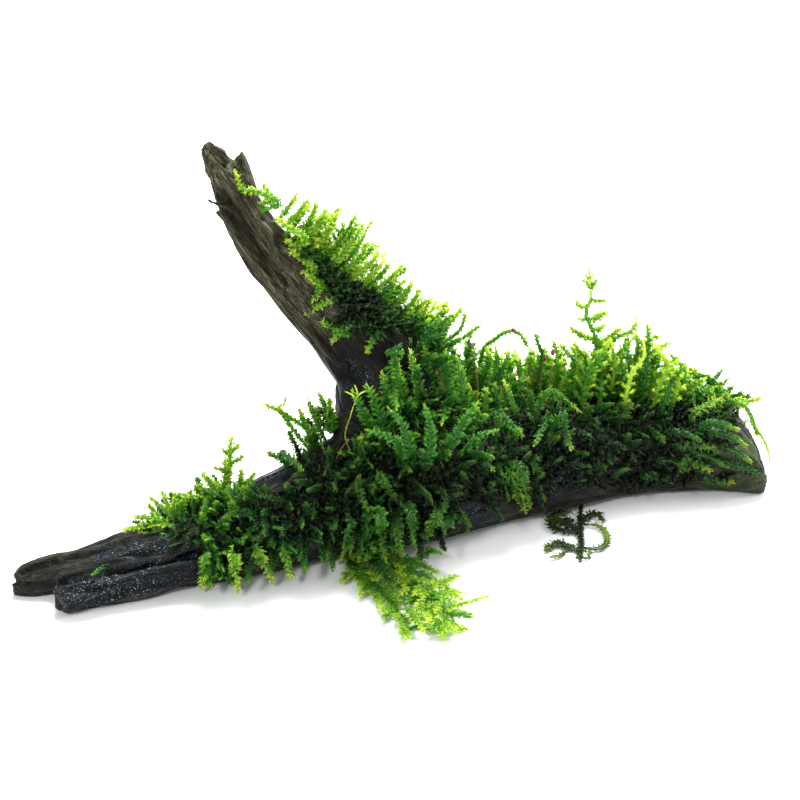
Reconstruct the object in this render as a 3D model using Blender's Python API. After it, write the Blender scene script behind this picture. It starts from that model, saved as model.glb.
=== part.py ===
"""Java moss on driftwood: a forked piece of dark wood on a flat underside, with clumps of moss on it.

The wood is three solids, split at the forks. Each clump of moss is one solid: a low mat that follows the
wood at a small gap, with tapered fronds drawn out of it up to the tips. All sizes below are in millimetres.
"""

import collections
import math
import random

import bmesh
import bpy
from mathutils import Vector, noise
from mathutils.bvhtree import BVHTree

MM = 0.001

# Gaps between neighbouring solids
MAT_GAP = 0.5
SPLIT_GAP = 0.3

# The log, from the left tip to the right end: along x, front edge y, back edge y, height of the top
LOG_KEYS = (
    (-110.4, -47.4, -41.5, 4.2),
    (-108.6, -48.0, -40.4, 6.2),
    (-104.0, -48.4, -38.8, 7.6),
    (-99.2, -48.0, -37.4, 8.6),
    (-97.6, -56.6, -36.8, 9.0),
    (-95.0, -58.8, -36.0, 9.6),
    (-75.0, -51.8, -26.2, 13.4),
    (-55.0, -44.8, -15.6, 17.2),
    (-40.0, -39.5, -7.0, 22.0),
    (-25.0, -34.8, 1.2, 28.0),
    (-10.0, -30.8, 8.0, 31.2),
    (0.0, -27.6, 12.0, 31.2),
    (10.0, -22.6, 16.2, 30.4),
    (30.0, -12.2, 24.0, 28.0),
    (45.0, -5.0, 28.8, 26.2),
    (55.0, -0.2, 31.4, 24.6),
    (65.0, 2.2, 33.0, 23.4),
    (80.0, 2.4, 33.6, 22.0),
    (85.0, 2.4, 32.6, 21.4),
    (89.5, 2.4, 29.6, 19.4),
    (93.5, 2.6, 25.0, 15.2),
    (96.0, 3.2, 20.0, 10.6),
    (97.4, 4.6, 15.6, 6.4),
)
LOG_STEP = 5.0
LOG_SIDES = 24
LOG_SQUARENESS = 2.7
# How far the section reaches below the floor before it is cut flat, as a share of its height
LOG_SINK = 0.07
LOG_GROOVE = 0.1
# Grooves: (rate round the wood, drift along it, size); knobs: (rate along the wood, rate round it, size)
LOG_WAVES = ((2.9, 0.021, 0.55), (5.3, -0.034, 0.33))
LOG_KNOBS = (0.045, 0.61, 0.9)
LOG_SPLIT_X = -35.0
LEFT_END_HOLLOW = 0.8
# The crack that parts the two planks of the left limb
CRACK_SIDE = 4
CRACK_DEPTH = 0.16
CRACK_FROM_X = -50.0
CRACK_END_X = -98.0
CRACK_FADE = 25.0

# The raised limb, from inside the log to the broken tip: left edge (x, z), right edge (x, z), middle y,
# thickness from front to back
LIMB_STATIONS = (
    ((-27.0, 17.0), (4.0, 15.0), -9.0, 20.0),
    ((-26.8, 26.0), (5.0, 27.0), -9.0, 20.0),
    ((-25.6, 34.5), (5.2, 38.0), -8.0, 19.0),
    ((-26.4, 43.5), (1.5, 50.5), -6.0, 17.0),
    ((-31.2, 51.8), (-10.0, 61.5), -4.6, 15.6),
    ((-36.0, 57.6), (-18.0, 67.0), -3.8, 14.4),
    ((-40.2, 62.8), (-25.0, 72.0), -3.2, 13.4),
    ((-43.2, 67.4), (-29.6, 76.0), -2.8, 12.6),
    ((-46.0, 71.8), (-33.8, 80.2), -2.4, 12.0),
    ((-48.6, 76.2), (-37.4, 84.0), -2.2, 11.4),
    ((-51.2, 80.8), (-40.4, 87.4), -2.0, 11.0),
    ((-53.6, 85.6), (-43.2, 91.2), -2.0, 10.6),
    ((-55.2, 91.0), (-45.0, 95.0), -2.0, 10.2),
    ((-56.6, 96.6), (-46.0, 99.0), -2.0, 9.8),
    ((-58.4, 102.0), (-47.2, 103.0), -2.0, 9.2),
)
LIMB_SIDES = 20
LIMB_GROOVE = 0.09
LIMB_EDGE = 0.4
LIMB_SQUARENESS = 2.3
LIMB_WAVES = ((2.6, 0.24, 0.6), (5.7, -0.31, 0.42))
LIMB_KNOBS = (0.32, 0.7, 0.8)
# Heights of the broken tip above the last station, going round from the right edge by the back
TIP_HEIGHTS = (
    5.0, 5.6, 4.8, 3.4, 2.8, 4.4, 6.8, 8.8, 8.8, 8.6,
    8.4, 8.4, 8.4, 7.6, 4.6, 2.2, 1.4, 1.8, 3.2, 4.8,
)
TIP_HOLLOW = -1.5
TIP_SHARE = 0.9
TIP_WAY = Vector((-0.21, 0.0, 0.88))
FOOT_FROM_X = -40.0
FOOT_TO_X = 25.0

# Moss mats on the log: patches (x from, x to, side from, side to), mat thickness, frond lengths, and the way
# that the fronds lean
LOG_MATS = {
    "moss_left_limb": (
        ((-80.0, -75.0, 4, 8), (-75.0, -60.0, 3, 9), (-60.0, -50.0, -1, 9)),
        1.6, (5.0, 9.0), (-0.15, -0.15, 0.5)),
    "moss_centre_left": (
        ((-50.0, -45.0, -2, 5), (-45.0, -20.0, -2, 7)),
        2.4, (6.0, 12.0), (-0.1, -0.35, 0.1)),
    "moss_fork": (
        ((-20.0, 5.0, -2, 5),),
        2.4, (9.0, 15.0), (0.0, -0.35, 0.75)),
    "moss_crown": (
        ((5.0, 25.0, 1, 11),),
        3.0, (13.0, 19.0), (0.0, -0.1, 0.8)),
    "moss_right": (
        ((25.0, 55.0, 1, 11),),
        2.6, (12.0, 18.0), (0.05, -0.1, 0.8)),
    "moss_right_end": (
        ((55.0, 89.5, 2, 10),),
        1.8, (5.0, 9.0), (0.3, -0.2, 0.15)),
    "moss_back": (
        ((-25.0, 5.0, 9, 12),),
        1.8, (6.0, 11.0), (0.0, 0.2, 0.5)),
}
MAT_INSET = 0.25
MAT_WAVE = 0.5
MAT_WAVE_RATE = 0.12
RIM_SHARE = 0.5
FOOT_MARGIN = 2.6

# Fronds: (share of the way, width) for each ring, and how they point
LONG_WIDTHS = ((0.45, 3.2), (1.0, 1.0))
SHORT_WIDTHS = ((1.0, 1.2),)
LONG_FROND = 14.0
HERO_BEND = 0.06
FACING_SHARE = 0.75
LEAST_FACING = 0.25
FACING_PUSH = 0.5
SWAY = 0.4
LOWEST_TIP = 0.6
LEAST_OFFSET = 0.3
FROND_START = 0.25
MOST_TRIES = 16
FROND_TRIES = 7
SHORTER_EACH_TRY = 0.12
FACING_WEIGHT = 5.0
ROOT_WEIGHT = 2.0

# Long fronds whose tips stand out in the outline, by clump: tip (x, y, z), and where its root stands if not
# straight below
HERO_TIPS = {
    "moss_left_limb": (
        (-54.5, -28.0, 36.5),
        (-56.8, -30.0, 30.0),
        (-52.0, -30.0, 31.0),
        (-73.5, -38.0, 21.0),
        (-79.6, -42.0, 14.5),
        (-50.8, -48.2, 1.4),
        (-56.5, -50.0, 4.0),
        (-66.0, -36.0, 21.0),
    ),
    "moss_centre_left": (
        (-40.0, -12.0, 33.5),
        (-36.0, -12.0, 38.0),
        (-33.5, -12.0, 40.0),
        (-31.0, -14.0, 42.0),
        (-48.6, -20.0, 25.0),
        (-28.6, -16.0, 43.0),
        (-25.5, -18.0, 42.0),
        (-46.0, -44.5, 2.5),
        (-30.0, -40.0, 3.0),
    ),
    "moss_fork": (
        (-24.0, -24.0, 43.0),
        (-20.0, -26.0, 47.0),
        (-15.0, -27.0, 53.0),
        (-9.0, -27.0, 57.0),
        (-3.5, -24.0, 55.0),
        (2.5, -22.0, 52.0),
        (5.0, -29.0, 2.0),
        (-1.0, -33.0, 2.0),
        (8.0, -24.0, 44.0),
        (-12.0, -30.0, 48.0),
        (8.0, -8.0, 57.0),
        (4.5, -12.0, 58.0),
    ),
    "moss_crown": (
        (12.0, 2.0, 57.5),
        (6.6, 3.0, 60.0, 9.0),
        (9.0, 6.0, 56.0, 9.0),
        (7.8, 0.0, 55.0, 9.0),
        (21.0, 8.0, 53.5),
        (17.0, 2.0, 54.0),
        (11.0, -8.0, 50.0),
        (15.0, -20.0, 10.0),
        (20.0, -17.0, 40.0),
    ),
    "moss_right": (
        (44.0, 14.0, 65.5, 49.0),
        (49.5, 13.0, 59.0, 51.0),
        (34.5, 12.0, 47.5),
        (39.5, 10.0, 54.0),
        (58.3, 14.0, 53.0, 54.0),
        (61.5, 14.0, 51.4, 54.0),
        (65.9, 14.0, 47.4, 54.0),
        (68.5, 12.0, 45.0, 54.0),
        (63.0, 10.0, 46.0, 53.0),
        (54.0, 10.0, 50.0),
        (29.0, 4.0, 48.0),
        (30.0, -13.0, 8.0),
        (25.0, -16.0, 3.0),
    ),
    "moss_right_end": (
        (75.0, 20.0, 30.5),
        (70.0, 17.0, 33.5),
        (66.5, 15.0, 38.0),
        (93.0, 22.0, 24.5),
        (96.5, 17.0, 17.0),
        (99.8, 13.0, 8.0),
        (90.0, 1.0, 6.0),
        (54.5, -4.0, 2.5),
        (59.0, -1.0, 5.0),
    ),
    "moss_back": (),
    "moss_limb_lower": (
        (-17.0, 1.0, 88.0),
        (-11.0, 1.0, 80.0),
        (-8.0, 1.0, 76.5),
        (-4.5, 1.0, 71.0),
        (-1.5, 1.0, 66.0),
        (3.0, 2.0, 63.5),
        (7.0, 2.0, 61.5),
        (9.5, 2.0, 57.0),
        (5.6, -2.0, 51.0),
        (4.0, -6.0, 45.5),
        (-31.0, -13.5, 63.0),
        (-36.0, -12.0, 66.5),
        (-39.0, -11.0, 74.0),
    ),
    "moss_limb_upper": (
        (-35.0, 0.0, 95.5),
        (-40.5, -1.0, 97.5),
        (-24.8, 0.0, 92.0),
        (-29.5, 0.0, 94.0),
        (-46.5, -9.5, 88.0),
        (-41.5, -9.5, 83.5),
        (-20.5, 0.0, 86.5),
        (-49.5, -8.5, 99.0),
    ),
}

# Moss mats on the raised limb: patches by station and side, mat thickness, frond lengths, lean
LIMB_MATS = {
    "moss_limb_lower": (((3, 8, 14, 22), (2, 3, 18, 22)), 1.5, (7.0, 12.0), (0.45, -0.1, 0.8)),
    "moss_limb_upper": (((8, 12, 16, 22),), 1.1, (6.0, 10.0), (0.5, -0.05, 0.75)),
}

# Sprigs that trail on the surface in front of the wood, as ribbons: (x, y, width, height) along each
FRONT_SPRIG = (
    ((-26.0, -37.6, 7.0, 6.5), (-19.0, -40.0, 11.0, 7.5), (-12.0, -43.0, 11.0, 6.0), (-5.0, -49.0, 9.0, 4.0),
     (-1.0, -53.0, 6.0, 3.2)),
    ((-10.5, -44.0, 8.0, 4.6), (-3.0, -51.0, 9.0, 4.4), (1.6, -56.0, 7.0, 3.4), (2.8, -63.0, 5.0, 2.6),
     (2.6, -68.4, 2.0, 1.4)),
    ((-3.0, -51.0, 7.0, 4.0), (-6.0, -58.0, 6.0, 3.0), (-6.4, -64.0, 4.0, 2.2), (-6.4, -67.4, 1.6, 1.2)),
    ((0.0, -54.0, 6.0, 3.6), (5.0, -58.0, 5.5, 2.8), (8.8, -64.0, 2.4, 1.4)),
    ((0.0, -53.0, 6.0, 3.8), (3.6, -47.0, 6.0, 3.0), (6.6, -40.0, 3.0, 1.6)),
    ((1.0, -54.0, 4.0, 3.0), (7.0, -52.6, 2.4, 2.0), (14.4, -48.8, 0.9, 1.2)),
    ((-5.0, -50.0, 6.0, 3.8), (-10.0, -54.5, 4.6, 2.6), (-14.4, -58.0, 2.0, 1.4)),
    ((-10.0, -42.0, 4.0, 4.4), (-5.0, -35.6, 3.0, 3.2), (1.0, -31.4, 3.6, 2.2), (4.2, -28.4, 1.6, 1.6)),
    ((-16.0, -42.0, 8.0, 5.6), (-21.0, -45.0, 5.0, 3.4), (-25.6, -43.6, 2.0, 1.6)),
    ((-4.0, -48.0, 5.0, 3.6), (-2.6, -42.0, 4.4, 2.8), (-1.0, -37.5, 2.0, 1.6)),
)
DARK_SPRIG = (
    ((42.8, -6.8, 1.8, 1.8), (42.2, -15.0, 1.4, 1.4), (41.4, -24.0, 1.3, 1.2), (40.6, -33.6, 1.0, 0.9)),
    ((42.6, -9.4, 2.0, 1.6), (38.8, -10.4, 4.6, 1.5), (35.0, -12.4, 3.6, 1.3), (32.6, -14.0, 1.8, 1.0)),
    ((42.2, -16.6, 2.0, 1.4), (37.8, -15.6, 4.2, 1.4), (33.8, -17.0, 2.6, 1.1)),
    ((42.6, -9.8, 1.6, 1.5), (45.8, -9.4, 3.4, 1.4), (49.2, -10.0, 1.8, 1.0)),
    ((42.2, -13.6, 1.6, 1.4), (46.4, -14.6, 3.0, 1.4), (49.6, -18.0, 3.0, 1.3), (48.2, -22.4, 2.0, 1.1),
     (44.4, -23.2, 1.2, 0.9)),
    ((41.6, -22.0, 1.6, 1.3), (36.8, -24.0, 4.2, 1.3), (31.2, -24.4, 1.8, 1.0)),
    ((41.4, -25.4, 1.6, 1.3), (37.2, -29.0, 3.6, 1.2), (33.2, -31.4, 1.4, 0.9)),
)
# The section of a ribbon: shares of its width and of its height
RIBBON_SECTION = ((-0.5, 0.0), (0.5, 0.0), (0.45, 0.6), (0.12, 1.0), (-0.2, 0.94), (-0.47, 0.5))
SPRIG_FLOOR = 0.05
SPRIG_STEP = 0.04

# Colours
WOOD_COLOUR = (0.022, 0.018, 0.015, 1.0)
MOSS_COLOUR = (0.09, 0.28, 0.02, 1.0)
DARK_MOSS_COLOUR = (0.03, 0.09, 0.012, 1.0)

RANDOM = random.Random(4)

# A mat before its fronds grow: its bmesh, its cells' faces, the turn of its grid, and how its fronds grow
Mat = collections.namedtuple("Mat", "name work beds turn lengths lean")


# Small helpers

def clear_scene():
    """Removes what the startup scene holds."""
    for item in list(bpy.data.objects):
        bpy.data.objects.remove(item)


def material(name, colour, roughness):
    """One plain material for a sub-part."""
    made = bpy.data.materials.new(name)
    made.use_nodes = True
    shader = made.node_tree.nodes["Principled BSDF"]
    shader.inputs["Base Color"].default_value = colour
    shader.inputs["Roughness"].default_value = roughness
    made.diffuse_color = colour
    return made


def add_object(name, work, skin):
    """Turns a bmesh in millimetres into an object in metres, its faces outward and shaded smooth."""
    bmesh.ops.recalc_face_normals(work, faces=work.faces)
    bmesh.ops.scale(work, vec=(MM, MM, MM), verts=work.verts)
    for face in work.faces:
        face.smooth = True
    mesh = bpy.data.meshes.new(name)
    work.to_mesh(mesh)
    work.free()
    body = bpy.data.objects.new(name, mesh)
    bpy.context.scene.collection.objects.link(body)
    body.data.materials.append(skin)
    return body


def combine(body, other, operation):
    """Applies one exact Boolean to a body and removes the other operand."""
    step = body.modifiers.new(operation, "BOOLEAN")
    step.operation = operation
    step.solver = "EXACT"
    step.object = other
    graph = bpy.context.evaluated_depsgraph_get()
    result = bpy.data.meshes.new_from_object(body.evaluated_get(graph))
    body.modifiers.clear()
    body.data = result
    bpy.data.objects.remove(other)


def power(value, exponent):
    """Keeps the sign of a sine or cosine while it is raised to a power."""
    return math.copysign(abs(value) ** exponent, value)


def waves(side, along, table):
    """Grooves that run along the wood and drift slowly round it."""
    return sum(size * math.sin(side * rate + along * drift) for rate, drift, size in table)


# The wood

def fill_in(keys, step):
    """Adds stations between the key stations, no further apart than a step."""
    stations = []
    for first, last in zip(keys, keys[1:]):
        count = math.ceil((last[0] - first[0]) / step)
        for n in range(count):
            stations.append(tuple(a + (b - a) * n / count for a, b in zip(first, last)))
    return stations + [keys[-1]]


LOG_STATIONS = fill_in(LOG_KEYS, LOG_STEP)


def log_point(station, side, grow=0.0):
    """A point on the log's surface. Side 0 faces the front, a quarter of the sides is the top."""
    x, front, back, top = LOG_STATIONS[station]
    side %= LOG_SIDES
    angle = 2.0 * math.pi * side / LOG_SIDES
    across = power(math.cos(angle), 2.0 / LOG_SQUARENESS)
    up = power(math.sin(angle), 2.0 / LOG_SQUARENESS)
    along_rate, round_rate, size = LOG_KNOBS
    knobs = size * noise.noise(Vector((x * along_rate, side * round_rate, 3.7)))
    factor = 1.0 + LOG_GROOVE * (waves(side, x, LOG_WAVES) + knobs)
    if side == CRACK_SIDE and CRACK_END_X < x < CRACK_FROM_X:
        factor -= CRACK_DEPTH * min(1.0, (CRACK_FROM_X - x) / CRACK_FADE)
    middle = 0.5 * (front + back)
    half_depth = 0.5 * (back - front)
    half_height = 0.5 * top / (1.0 - LOG_SINK)
    rise = half_height * (1.0 if side > LOG_SIDES // 2 else factor) + grow
    z = half_height * (1.0 - 2.0 * LOG_SINK) + up * rise
    return Vector((x, middle - across * (half_depth * factor + grow), max(z, -grow)))


def station_at(x):
    """The number of the log station that lies nearest to x."""
    return min(range(len(LOG_STATIONS)), key=lambda n: abs(LOG_STATIONS[n][0] - x))


def loft(name, rings, skin, hub_shift=(Vector(), Vector())):
    """Bridges a row of rings with quads, and closes each end with a fan whose middle can be shifted."""
    work = bmesh.new()
    rows = [[work.verts.new(point) for point in ring] for ring in rings]
    count = len(rings[0])
    for lower, upper in zip(rows, rows[1:]):
        for side in range(count):
            after = (side + 1) % count
            work.faces.new((lower[side], lower[after], upper[after], upper[side]))
    for row, ring, shift in ((rows[0], rings[0], hub_shift[0]), (rows[-1], rings[-1], hub_shift[1])):
        hub = work.verts.new(sum(ring, Vector()) / count + shift)
        for side in range(count):
            work.faces.new((row[side], row[(side + 1) % count], hub))
    return add_object(name, work, skin)


def ring_between(x):
    """A ring of the log's surface at any x, between two stations."""
    upper = next(n for n in range(len(LOG_STATIONS)) if LOG_STATIONS[n][0] > x)
    share = (x - LOG_STATIONS[upper - 1][0]) / (LOG_STATIONS[upper][0] - LOG_STATIONS[upper - 1][0])
    return [log_point(upper - 1, side).lerp(log_point(upper, side), share) for side in range(LOG_SIDES)]


def log_ring(station, grow=0.0):
    return [log_point(station, side, grow) for side in range(LOG_SIDES)]


def make_log(skin):
    """The left limb and the trunk, parted by a narrow gap at the fork."""
    split = station_at(LOG_SPLIT_X)
    left = [log_ring(station) for station in range(split)] + [ring_between(LOG_SPLIT_X - SPLIT_GAP)]
    right = [log_ring(station) for station in range(split, len(LOG_STATIONS))]
    hollow = (Vector((LEFT_END_HOLLOW, 0.0, 0.0)), Vector())
    return loft("driftwood_left_limb", left, skin, hollow), loft("driftwood_trunk", right, skin)


def limb_point(station, side):
    """A point on the raised limb. Side 0 is the right edge, a quarter of the sides faces the back."""
    left, right, y, thick = LIMB_STATIONS[station]
    side %= LIMB_SIDES
    left = Vector((left[0], y, left[1]))
    right = Vector((right[0], y, right[1]))
    angle = 2.0 * math.pi * side / LIMB_SIDES
    across = power(math.cos(angle), 2.0 / LIMB_SQUARENESS)
    out = power(math.sin(angle), 2.0 / LIMB_SQUARENESS)
    along_rate, round_rate, size = LIMB_KNOBS
    knobs = size * noise.noise(Vector((station * along_rate, side * round_rate, 9.1)))
    factor = 1.0 + LIMB_GROOVE * (waves(side, station, LIMB_WAVES) + knobs)
    middle = 0.5 * (left + right)
    edge = 1.0 + LIMB_EDGE * (factor - 1.0)
    return middle + 0.5 * across * edge * (right - left) + Vector((0.0, 0.5 * out * thick * factor, 0.0))


def make_limb(skin):
    """The raised limb with its broken, hollow tip."""
    rings = [[limb_point(n, side) for side in range(LIMB_SIDES)] for n in range(len(LIMB_STATIONS))]
    last = rings[-1]
    middle = sum(last, Vector()) / LIMB_SIDES
    tip = []
    for spot, height in zip(last, TIP_HEIGHTS):
        tip.append(middle + (spot - middle) * TIP_SHARE + TIP_WAY * height)
    sink = Vector((0.0, 0.0, TIP_HOLLOW - TIP_WAY.z * sum(TIP_HEIGHTS) / LIMB_SIDES))
    return loft("driftwood_raised_limb", rings + [tip], skin, (Vector(), sink))


def cut_limb(limb, skin):
    """Cuts the foot of the raised limb where the trunk fills it."""
    stations = range(station_at(FOOT_FROM_X), station_at(FOOT_TO_X))
    cutter = loft("foot_cutter", [log_ring(station, SPLIT_GAP) for station in stations], skin)
    combine(limb, cutter, "DIFFERENCE")


# The moss mats

def grid_normals(point, cells, turn):
    """Outward normals at the corners of the cells. turn is -1 where the grid runs the other way round."""
    normals = {}
    for row, side in {corner for cell in cells for corner in cell_corners(cell)}:
        along = point(row + 1, side) - point(row - 1, side)
        across = point(row, side + 1) - point(row, side - 1)
        normals[row, side] = turn * along.cross(across).normalized()
    return normals


def search_tree(points, faces):
    """A search tree for a list of faces."""
    return BVHTree.FromPolygons([tuple(p) for p in points], faces)


def cell_corners(cell):
    row, side = cell
    return [(row, side), (row + 1, side), (row + 1, side + 1), (row, side + 1)]


def rim_of(cells):
    """The edges that only one cell uses, in the order in which that cell runs round them."""
    edges = set()
    for cell in cells:
        ring = cell_corners(cell)
        edges |= set(zip(ring, ring[1:] + ring[:1]))
    return [(a, b) for a, b in edges if (b, a) not in edges]


def lay_mat(point, normals, cells, thickness):
    """A mat on a patch of the wood's grid: an inner sheet at a gap, an outer sheet, walls round the rim."""
    work = bmesh.new()
    rim = rim_of(cells)
    rim_corners = {corner for pair in rim for corner in pair}
    centre = sum((point(*corner) for corner in normals), Vector()) / len(normals)
    inner = {}
    outer = {}
    for corner in sorted(normals):
        base = point(*corner)
        out = normals[corner]
        height = thickness * (1.0 + MAT_WAVE * noise.noise(base * MAT_WAVE_RATE))
        if corner in rim_corners:
            inward = centre - base
            inward -= out * inward.dot(out)
            base += inward.normalized() * MAT_INSET
            height = thickness * RIM_SHARE
        inner[corner] = work.verts.new(base + out * MAT_GAP)
        outer[corner] = work.verts.new(base + out * (MAT_GAP + height))
    beds = []
    for cell in cells:
        ring = cell_corners(cell)
        beds.append(work.faces.new([outer[corner] for corner in ring]))
        work.faces.new([inner[corner] for corner in reversed(ring)])
    for a, b in rim:
        work.faces.new((outer[b], outer[a], inner[a], inner[b]))
    return work, beds


class Frond:
    """A trial frond from one cell of a mat to its tip, as one ring of four points for each step along it."""

    def __init__(self, bed, tip, bend, widths):
        self.base = [vert.co.copy() for vert in bed.verts]
        middle = sum(self.base, Vector()) / 4
        way = tip - middle
        axis = way.normalized()
        self.rings = []
        for along, width in widths:
            spot = middle + way * along + bend * (along * (1.0 - along) * 4.0)
            ring = []
            for corner in self.base:
                offset = corner - middle
                offset -= axis * offset.dot(axis)
                ring.append(spot + offset * (0.5 * width / max(offset.length, LEAST_OFFSET)))
            self.rings.append(ring)

    def tree(self):
        """A search tree of the frond, from a little above its base."""
        first = [a.lerp(b, FROND_START) for a, b in zip(self.base, self.rings[0])]
        stack = [first] + self.rings
        points = [p for ring in stack for p in ring]
        faces = []
        for row in range(0, 4 * len(self.rings), 4):
            for a in range(4):
                b = (a + 1) % 4
                faces.append((row + a, row + b, row + 4 + b, row + 4 + a))
        last = 4 * len(self.rings)
        faces.append((last, last + 1, last + 2, last + 3))
        return search_tree(points, faces)

    def extrude(self, work, bed):
        """Draws the cell's face out to the tip, one ring at a time."""
        for ring in self.rings:
            bed = bmesh.ops.extrude_discrete_faces(work, faces=[bed])["faces"][0]
            for vert, spot in zip(bed.verts, ring):
                vert.co = spot


def bed_middle(bed):
    return bed.calc_center_median()


def bed_facing(bed, turn):
    a, b, c, d = (vert.co for vert in bed.verts)
    return turn * (c - a).cross(d - b).normalized()


def best_beds(beds, tip, root_x, turn):
    """The cells that a long frond could grow from, the likeliest first."""
    def cost(bed):
        way = tip - bed_middle(bed)
        facing = FACING_WEIGHT * way.normalized().dot(bed_facing(bed, turn))
        return way.length - facing + ROOT_WEIGHT * abs(bed_middle(bed).x - root_x)
    return sorted(beds, key=cost)[:MOST_TRIES]


def beds_tree(beds):
    """A search tree of a mat's outer sheet."""
    points = [vert.co.copy() for bed in beds for vert in bed.verts]
    return search_tree(points, [tuple(range(4 * n, 4 * n + 4)) for n in range(len(beds))])


def grow_frond(mat, bed, frond, others):
    """Draws a frond out of its cell, unless it runs into something."""
    tree = frond.tree()
    if any(tree.overlap(other) for other in others):
        return False
    others.append(tree)
    frond.extrude(mat.work, bed)
    mat.beds.remove(bed)
    return True


def grow_long_fronds(mat, others):
    """The fronds whose tips stand out in the outline."""
    for hero in HERO_TIPS[mat.name]:
        tip = Vector(hero[:3])
        root_x = hero[3] if len(hero) > 3 else tip.x
        for bed in best_beds(mat.beds, tip, root_x, mat.turn):
            bend = bed_facing(bed, mat.turn) * (tip - bed_middle(bed)).length * HERO_BEND
            if grow_frond(mat, bed, Frond(bed, tip, bend, LONG_WIDTHS), others):
                break


def grow_other_fronds(mat, others):
    """One frond from each cell that is left, the shorter the more often it runs into something."""
    for bed in sorted(mat.beds, key=lambda bed: RANDOM.random()):
        facing = bed_facing(bed, mat.turn)
        for attempt in range(FROND_TRIES):
            sway = Vector([RANDOM.uniform(-SWAY, SWAY) for _ in range(3)])
            way = (facing * FACING_SHARE + Vector(mat.lean) + sway).normalized()
            if way.dot(facing) < LEAST_FACING:
                way = (way + facing * FACING_PUSH).normalized()
            length = RANDOM.uniform(*mat.lengths) * (1.0 - SHORTER_EACH_TRY * attempt)
            tip = bed_middle(bed) + way * length
            widths = LONG_WIDTHS if length > LONG_FROND else SHORT_WIDTHS
            if tip.z > LOWEST_TIP and grow_frond(mat, bed, Frond(bed, tip, Vector(), widths), others):
                break


def tree_of(body):
    """A search tree for a finished object, in millimetres."""
    points = [vert.co / MM for vert in body.data.vertices]
    return search_tree(points, [tuple(face.vertices) for face in body.data.polygons])


def foot_clear(points, limb_tree):
    """Whether a cell stays away from the foot of the raised limb."""
    for point in points + [sum(points, Vector()) / len(points)]:
        spot, normal, face, distance = limb_tree.find_nearest(point)
        if distance < FOOT_MARGIN or (point - spot).dot(normal) < 0.0:
            return False
    return True


def patch_cells(patches, row_of):
    """The grid cells of a list of patches."""
    cells = set()
    for start, end, side_from, side_to in patches:
        for row in range(row_of(start), row_of(end)):
            cells |= {(row, side) for side in range(side_from, side_to)}
    return sorted(cells)


def joined_cells(cells):
    """The largest group of cells that hang together by their edges."""
    left = set(cells)
    best = []
    while left:
        group = [left.pop()]
        for row, side in group:
            for near in ((row + 1, side), (row - 1, side), (row, side + 1), (row, side - 1)):
                if near in left:
                    left.remove(near)
                    group.append(near)
        best = max(best, group, key=len)
    return sorted(best)


def log_cells(patches, limb_tree):
    """The cells of a clump on the log, without those that the foot of the raised limb covers."""
    cells = []
    for cell in patch_cells(patches, station_at):
        if foot_clear([log_point(*corner) for corner in cell_corners(cell)], limb_tree):
            cells.append(cell)
    return joined_cells(cells)


def lay_mats(limb_tree):
    """Every mat, before its fronds grow."""
    mats = []
    for name, (patches, thickness, lengths, lean) in LOG_MATS.items():
        cells = log_cells(patches, limb_tree)
        work, beds = lay_mat(log_point, grid_normals(log_point, cells, 1.0), cells, thickness)
        mats.append(Mat(name, work, beds, 1.0, lengths, lean))
    for name, (patches, thickness, lengths, lean) in LIMB_MATS.items():
        cells = patch_cells(patches, int)
        work, beds = lay_mat(limb_point, grid_normals(limb_point, cells, -1.0), cells, thickness)
        mats.append(Mat(name, work, beds, -1.0, lengths, lean))
    return mats


def make_moss(limb_tree, obstacles, skin):
    """Grows the fronds of each mat in turn, clear of the wood and of every other clump."""
    mats = lay_mats(limb_tree)
    sheets = [beds_tree(mat.beds) for mat in mats]
    for mat in mats:
        others = obstacles + sheets
        grow_long_fronds(mat, others)
        grow_other_fronds(mat, others)
        obstacles.append(tree_of(add_object(mat.name, mat.work, skin)))


# The sprigs on the surface

def ribbon(name, path, floor, skin):
    """A closed strip along a path, with a rounded top edge."""
    spots = [Vector((x, y, 0.0)) for x, y, width, height in path]
    rows = []
    for n, (x, y, width, height) in enumerate(path):
        before = spots[max(n - 1, 0)]
        after = spots[min(n + 1, len(spots) - 1)]
        across = (after - before).normalized().cross(Vector((0.0, 0.0, 1.0)))
        row = []
        for side, up in RIBBON_SECTION:
            row.append(spots[n] + across * width * side + Vector((0.0, 0.0, floor + height * up)))
        rows.append(row)
    return loft(name, rows, skin)


def make_sprig(name, paths, skin):
    """Joins the ribbons of one sprig into a single body."""
    body = ribbon(name, paths[0], SPRIG_FLOOR, skin)
    for n, path in enumerate(paths[1:], 1):
        combine(body, ribbon(name + "_branch", path, SPRIG_FLOOR + SPRIG_STEP * n, skin), "UNION")
    return body


def main():
    clear_scene()
    wood = material("driftwood", WOOD_COLOUR, 0.55)
    moss = material("moss", MOSS_COLOUR, 0.6)
    dark_moss = material("dark_moss", DARK_MOSS_COLOUR, 0.6)
    left, trunk = make_log(wood)
    limb = make_limb(wood)
    whole_limb_tree = tree_of(limb)
    cut_limb(limb, wood)
    front = make_sprig("moss_trailing_front", FRONT_SPRIG, moss)
    dark = make_sprig("moss_trailing_dark", DARK_SPRIG, dark_moss)
    make_moss(whole_limb_tree, [tree_of(body) for body in (left, trunk, limb, front, dark)], moss)


main()
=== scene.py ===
# %% [markdown]
# # Java moss on driftwood
#
# A dark, forked piece of driftwood lies flat on the floor. One limb runs low to the left, a second
# one rises to the upper left and ends in a broken tip, and tufts of java moss cover the fork and the
# right half. The solid model is loaded first. It holds the true sizes, and everything below is made
# to fit over it.

# %% Load the solid model
import math
from collections import namedtuple

import bpy
import numpy as np
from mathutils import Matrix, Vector, noise
from mathutils.bvhtree import BVHTree


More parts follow.
